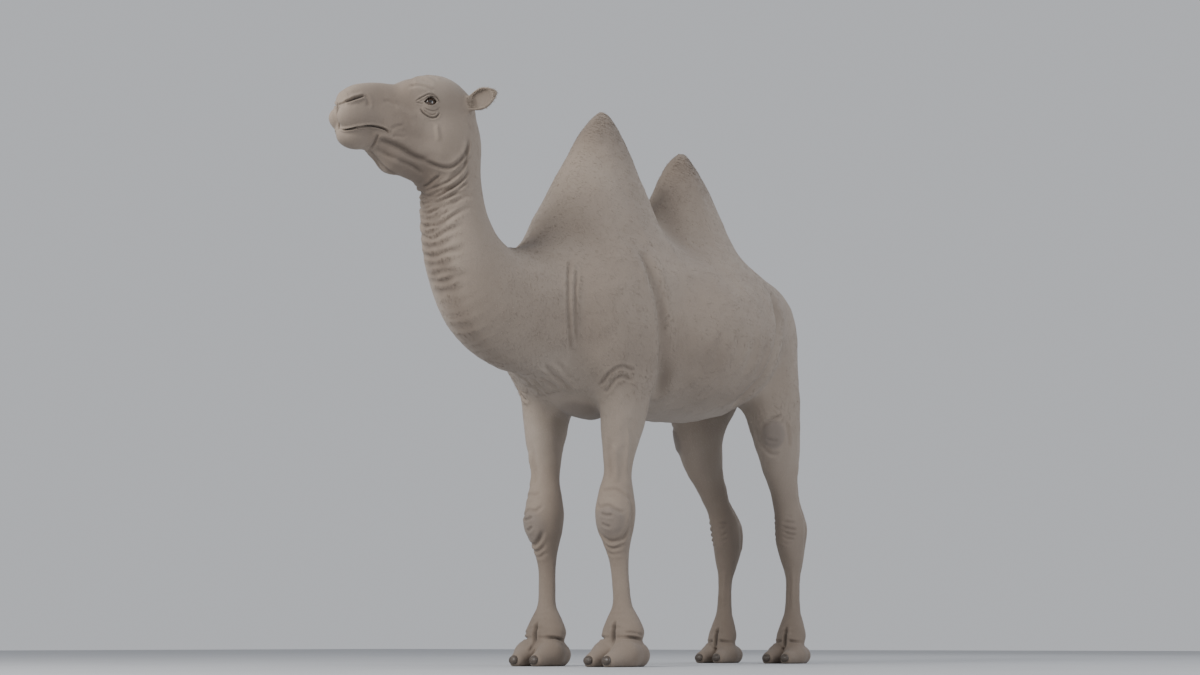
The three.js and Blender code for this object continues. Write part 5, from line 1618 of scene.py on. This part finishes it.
count, longest, thick = BRUSH
brush = fade(-skin_points[:, 1], *BRUSH_AT[0]) * fade(skin_points[:, 2], *BRUSH_AT[1])
root, normal = planted(brush, count, random)
way = leaning(lie_of_coat(root, normal) + random.normal(0, BRUSH_STRAY, (count, 3)), normal,
              random.uniform(*BRUSH_LIFT, count))
length = longest * random.uniform(*BRUSH_LENGTHS, count) * fade(root[:, 2], *BRUSH_SHORTER)
tuft_piece("tail_brush", root, normal, way, random.normal(0, BRUSH_BEND, (count, 3)) - BRUSH_DROP,
           length, thick * random.uniform(*THICKNESSES, count),
           BRUSH_TONE + random.normal(0, BRUSH_TONE_STRAY, count), 4)

count, longest, thick = EAR_HAIRS
rim = fade(np.abs(in_ear_hollow - EAR_RIM[0]), *EAR_RIM[1:]) * (in_ear_hollow > 0)
root, normal = planted(rim, count, random)
along_ear = sided(ear_axes()[0], root) @ HEAD_AXES
way = leaning(along_ear + random.normal(0, EAR_HAIR_STRAY, (count, 3)), normal,
              random.uniform(*EAR_HAIR_LIFT, count))
tuft_piece("ear_hairs", root, normal, way, random.normal(0, EAR_HAIR_BEND, (count, 3)),
           longest * random.uniform(*EAR_HAIR_LENGTHS, count),
           thick * random.uniform(*EAR_HAIR_THICKNESSES, count),
           EAR_HAIR_TONE + random.normal(0, EAR_HAIR_TONE_STRAY, count), 4)


# ---------------------------------------------------------------------------------------------
# The nails
#
# Each toe ends in a short broad nail of dark horn, grown out of the skin and worn blunt below.

HORN_DARK, HORN, HORN_PALE = (.040, .032, .026, 1), (.082, .064, .051, 1), (.145, .114, .090, 1)
NAIL_CURVE = 2.5            # squareness of a nail's outline
NAIL_RIDGES = .012, 26, .9  # the growth ridges' height, how close they lie, and how far up they go
NAIL_NARROWING = .24        # how much narrower its top is
NAIL_SLOPE = .35, .3        # how far it slopes back, and how far below its middle that begins
NAIL_FLATTENING = .5        # how much less its back does


def nail_shape(low, high, rings=20, segments=36):
    """A domed closed shell in a box: a squared ball, arched and sloped back above."""
    turn, fall = ball_angles(rings, segments)
    power = lambda v: np.sign(v) * np.abs(v)**(2 / NAIL_CURVE)
    height, turns, top = NAIL_RIDGES
    ridge = 1 + height * np.sin(fall * turns) * (np.abs(np.cos(fall)) < top)
    x = (power(np.sin(fall)) * ridge)[:, None] * power(np.cos(turn))
    y = (power(np.sin(fall)) * ridge)[:, None] * power(np.sin(turn))
    z = np.repeat(power(np.cos(fall))[:, None], segments, 1)
    x *= 1 - NAIL_NARROWING * np.clip(z, 0, 1)**2
    slope, start = NAIL_SLOPE
    y += slope * (np.clip(z, -start, 1) + start)**2 * (1 - NAIL_FLATTENING * np.clip(y, 0, 1))
    points = np.stack([x, np.minimum(y, 1), z], -1).reshape(-1, 3)
    points = np.concatenate([points, [[0, 0, 1], [0, 0, -1]]]) * (high - low) / 2 + (low + high) / 2
    return points, ball_faces(rings, segments)


def horn_material():
    """Dark horn: growth bands across it, pale scuffs, and a low polish."""
    material, n = new_material("camel nail")
    place = n.place()
    stretched = n.add("ShaderNodeVectorMath", {0: place, 1: (1, 1, 4)}, operation="MULTIPLY").outputs[0]
    bands = n.noise(stretched, 90, 3, .6)
    colour = n.ramp(bands, [(.3, HORN_DARK), (.55, HORN), (.8, HORN_PALE)])
    rough = n.ramp(n.noise(place, 60, 3), [(.3, .34), (.7, .58)])
    n.surface({"Base Color": colour, "Roughness": rough, "Normal": n.bump(.35, .0012, bands)})
    return material


horn_finish = horn_material()
for leg_name in LEGS:
    for place in ("inner", "outer"):
        node = f"{leg_name}_nail_{place}"
        low, high = (np.array(corner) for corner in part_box(node))
        nail = new_piece(node + "_horn", *nail_shape(low, high), horn_finish, slot="nail")
        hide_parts(node)


# ---------------------------------------------------------------------------------------------
# The floor, the light and the camera
#
# A pale studio: an even grey sky, a broad soft light from the upper left and a weak one opposite.

FLOOR_HALF = 14
FLOOR_DARK, FLOOR_PALE = (.47, .48, .50, 1), (.50, .51, .53, 1)
SKY = (.520, .533, .560, 1)
CAMERA = (3.664, -5.633, .0831)
CAMERA_TURN = 100.4, 0, 35.37           # degrees: raised above level, and about the upright
LENS, SENSOR = 50, 36
LIGHT_AIM = (0, -.3, 1.1)
LIGHTS = [                  # name, place, size, power, colour
    ("key", (-.6, -6.4, 4.0), 3.0, 400, (1, .985, .96)),
    ("fill", (6.0, .5, 2.4), 4.0, 135, (.93, .96, 1)),
    ("rim", (1.0, 5.5, 4.5), 3.0, 60, (.96, .98, 1)),
]

mesh = bpy.data.meshes.new("floor")
corners = [(-FLOOR_HALF, -FLOOR_HALF, 0), (FLOOR_HALF, -FLOOR_HALF, 0),
           (FLOOR_HALF, FLOOR_HALF, 0), (-FLOOR_HALF, FLOOR_HALF, 0)]
mesh.from_pydata(corners, [], [(0, 1, 2, 3)])
floor = bpy.data.objects.new("floor", mesh)
bpy.context.scene.collection.objects.link(floor)
floor_finish, n = new_material("studio floor")
colour = n.ramp(n.noise(n.place(), 1.5, 3), [(.3, FLOOR_DARK), (.7, FLOOR_PALE)])
n.surface({"Base Color": colour, "Roughness": .75})
mesh.materials.append(floor_finish)

world = bpy.data.worlds.new("studio")
world.use_nodes = True
world.node_tree.nodes["Background"].inputs["Color"].default_value = SKY
world.node_tree.nodes["Background"].inputs["Strength"].default_value = 1.
bpy.context.scene.world = world

for name, at, size, power, colour in LIGHTS:
    lamp = bpy.data.lights.new(name, "AREA")
    lamp.shape, lamp.size, lamp.energy, lamp.color = "DISK", size, power, colour
    light = bpy.data.objects.new(name, lamp)
    light.location = PLACE + at
    aim = PLACE + LIGHT_AIM - light.location
    light.rotation_euler = Vector(aim).to_track_quat("-Z", "Y").to_euler()
    bpy.context.scene.collection.objects.link(light)

view = bpy.data.cameras.new("camera")
view.lens, view.sensor_width = LENS, SENSOR
camera = bpy.data.objects.new("camera", view)
camera.location = PLACE + CAMERA
camera.rotation_euler = np.radians(CAMERA_TURN)
bpy.context.scene.collection.objects.link(camera)
bpy.context.scene.camera = camera
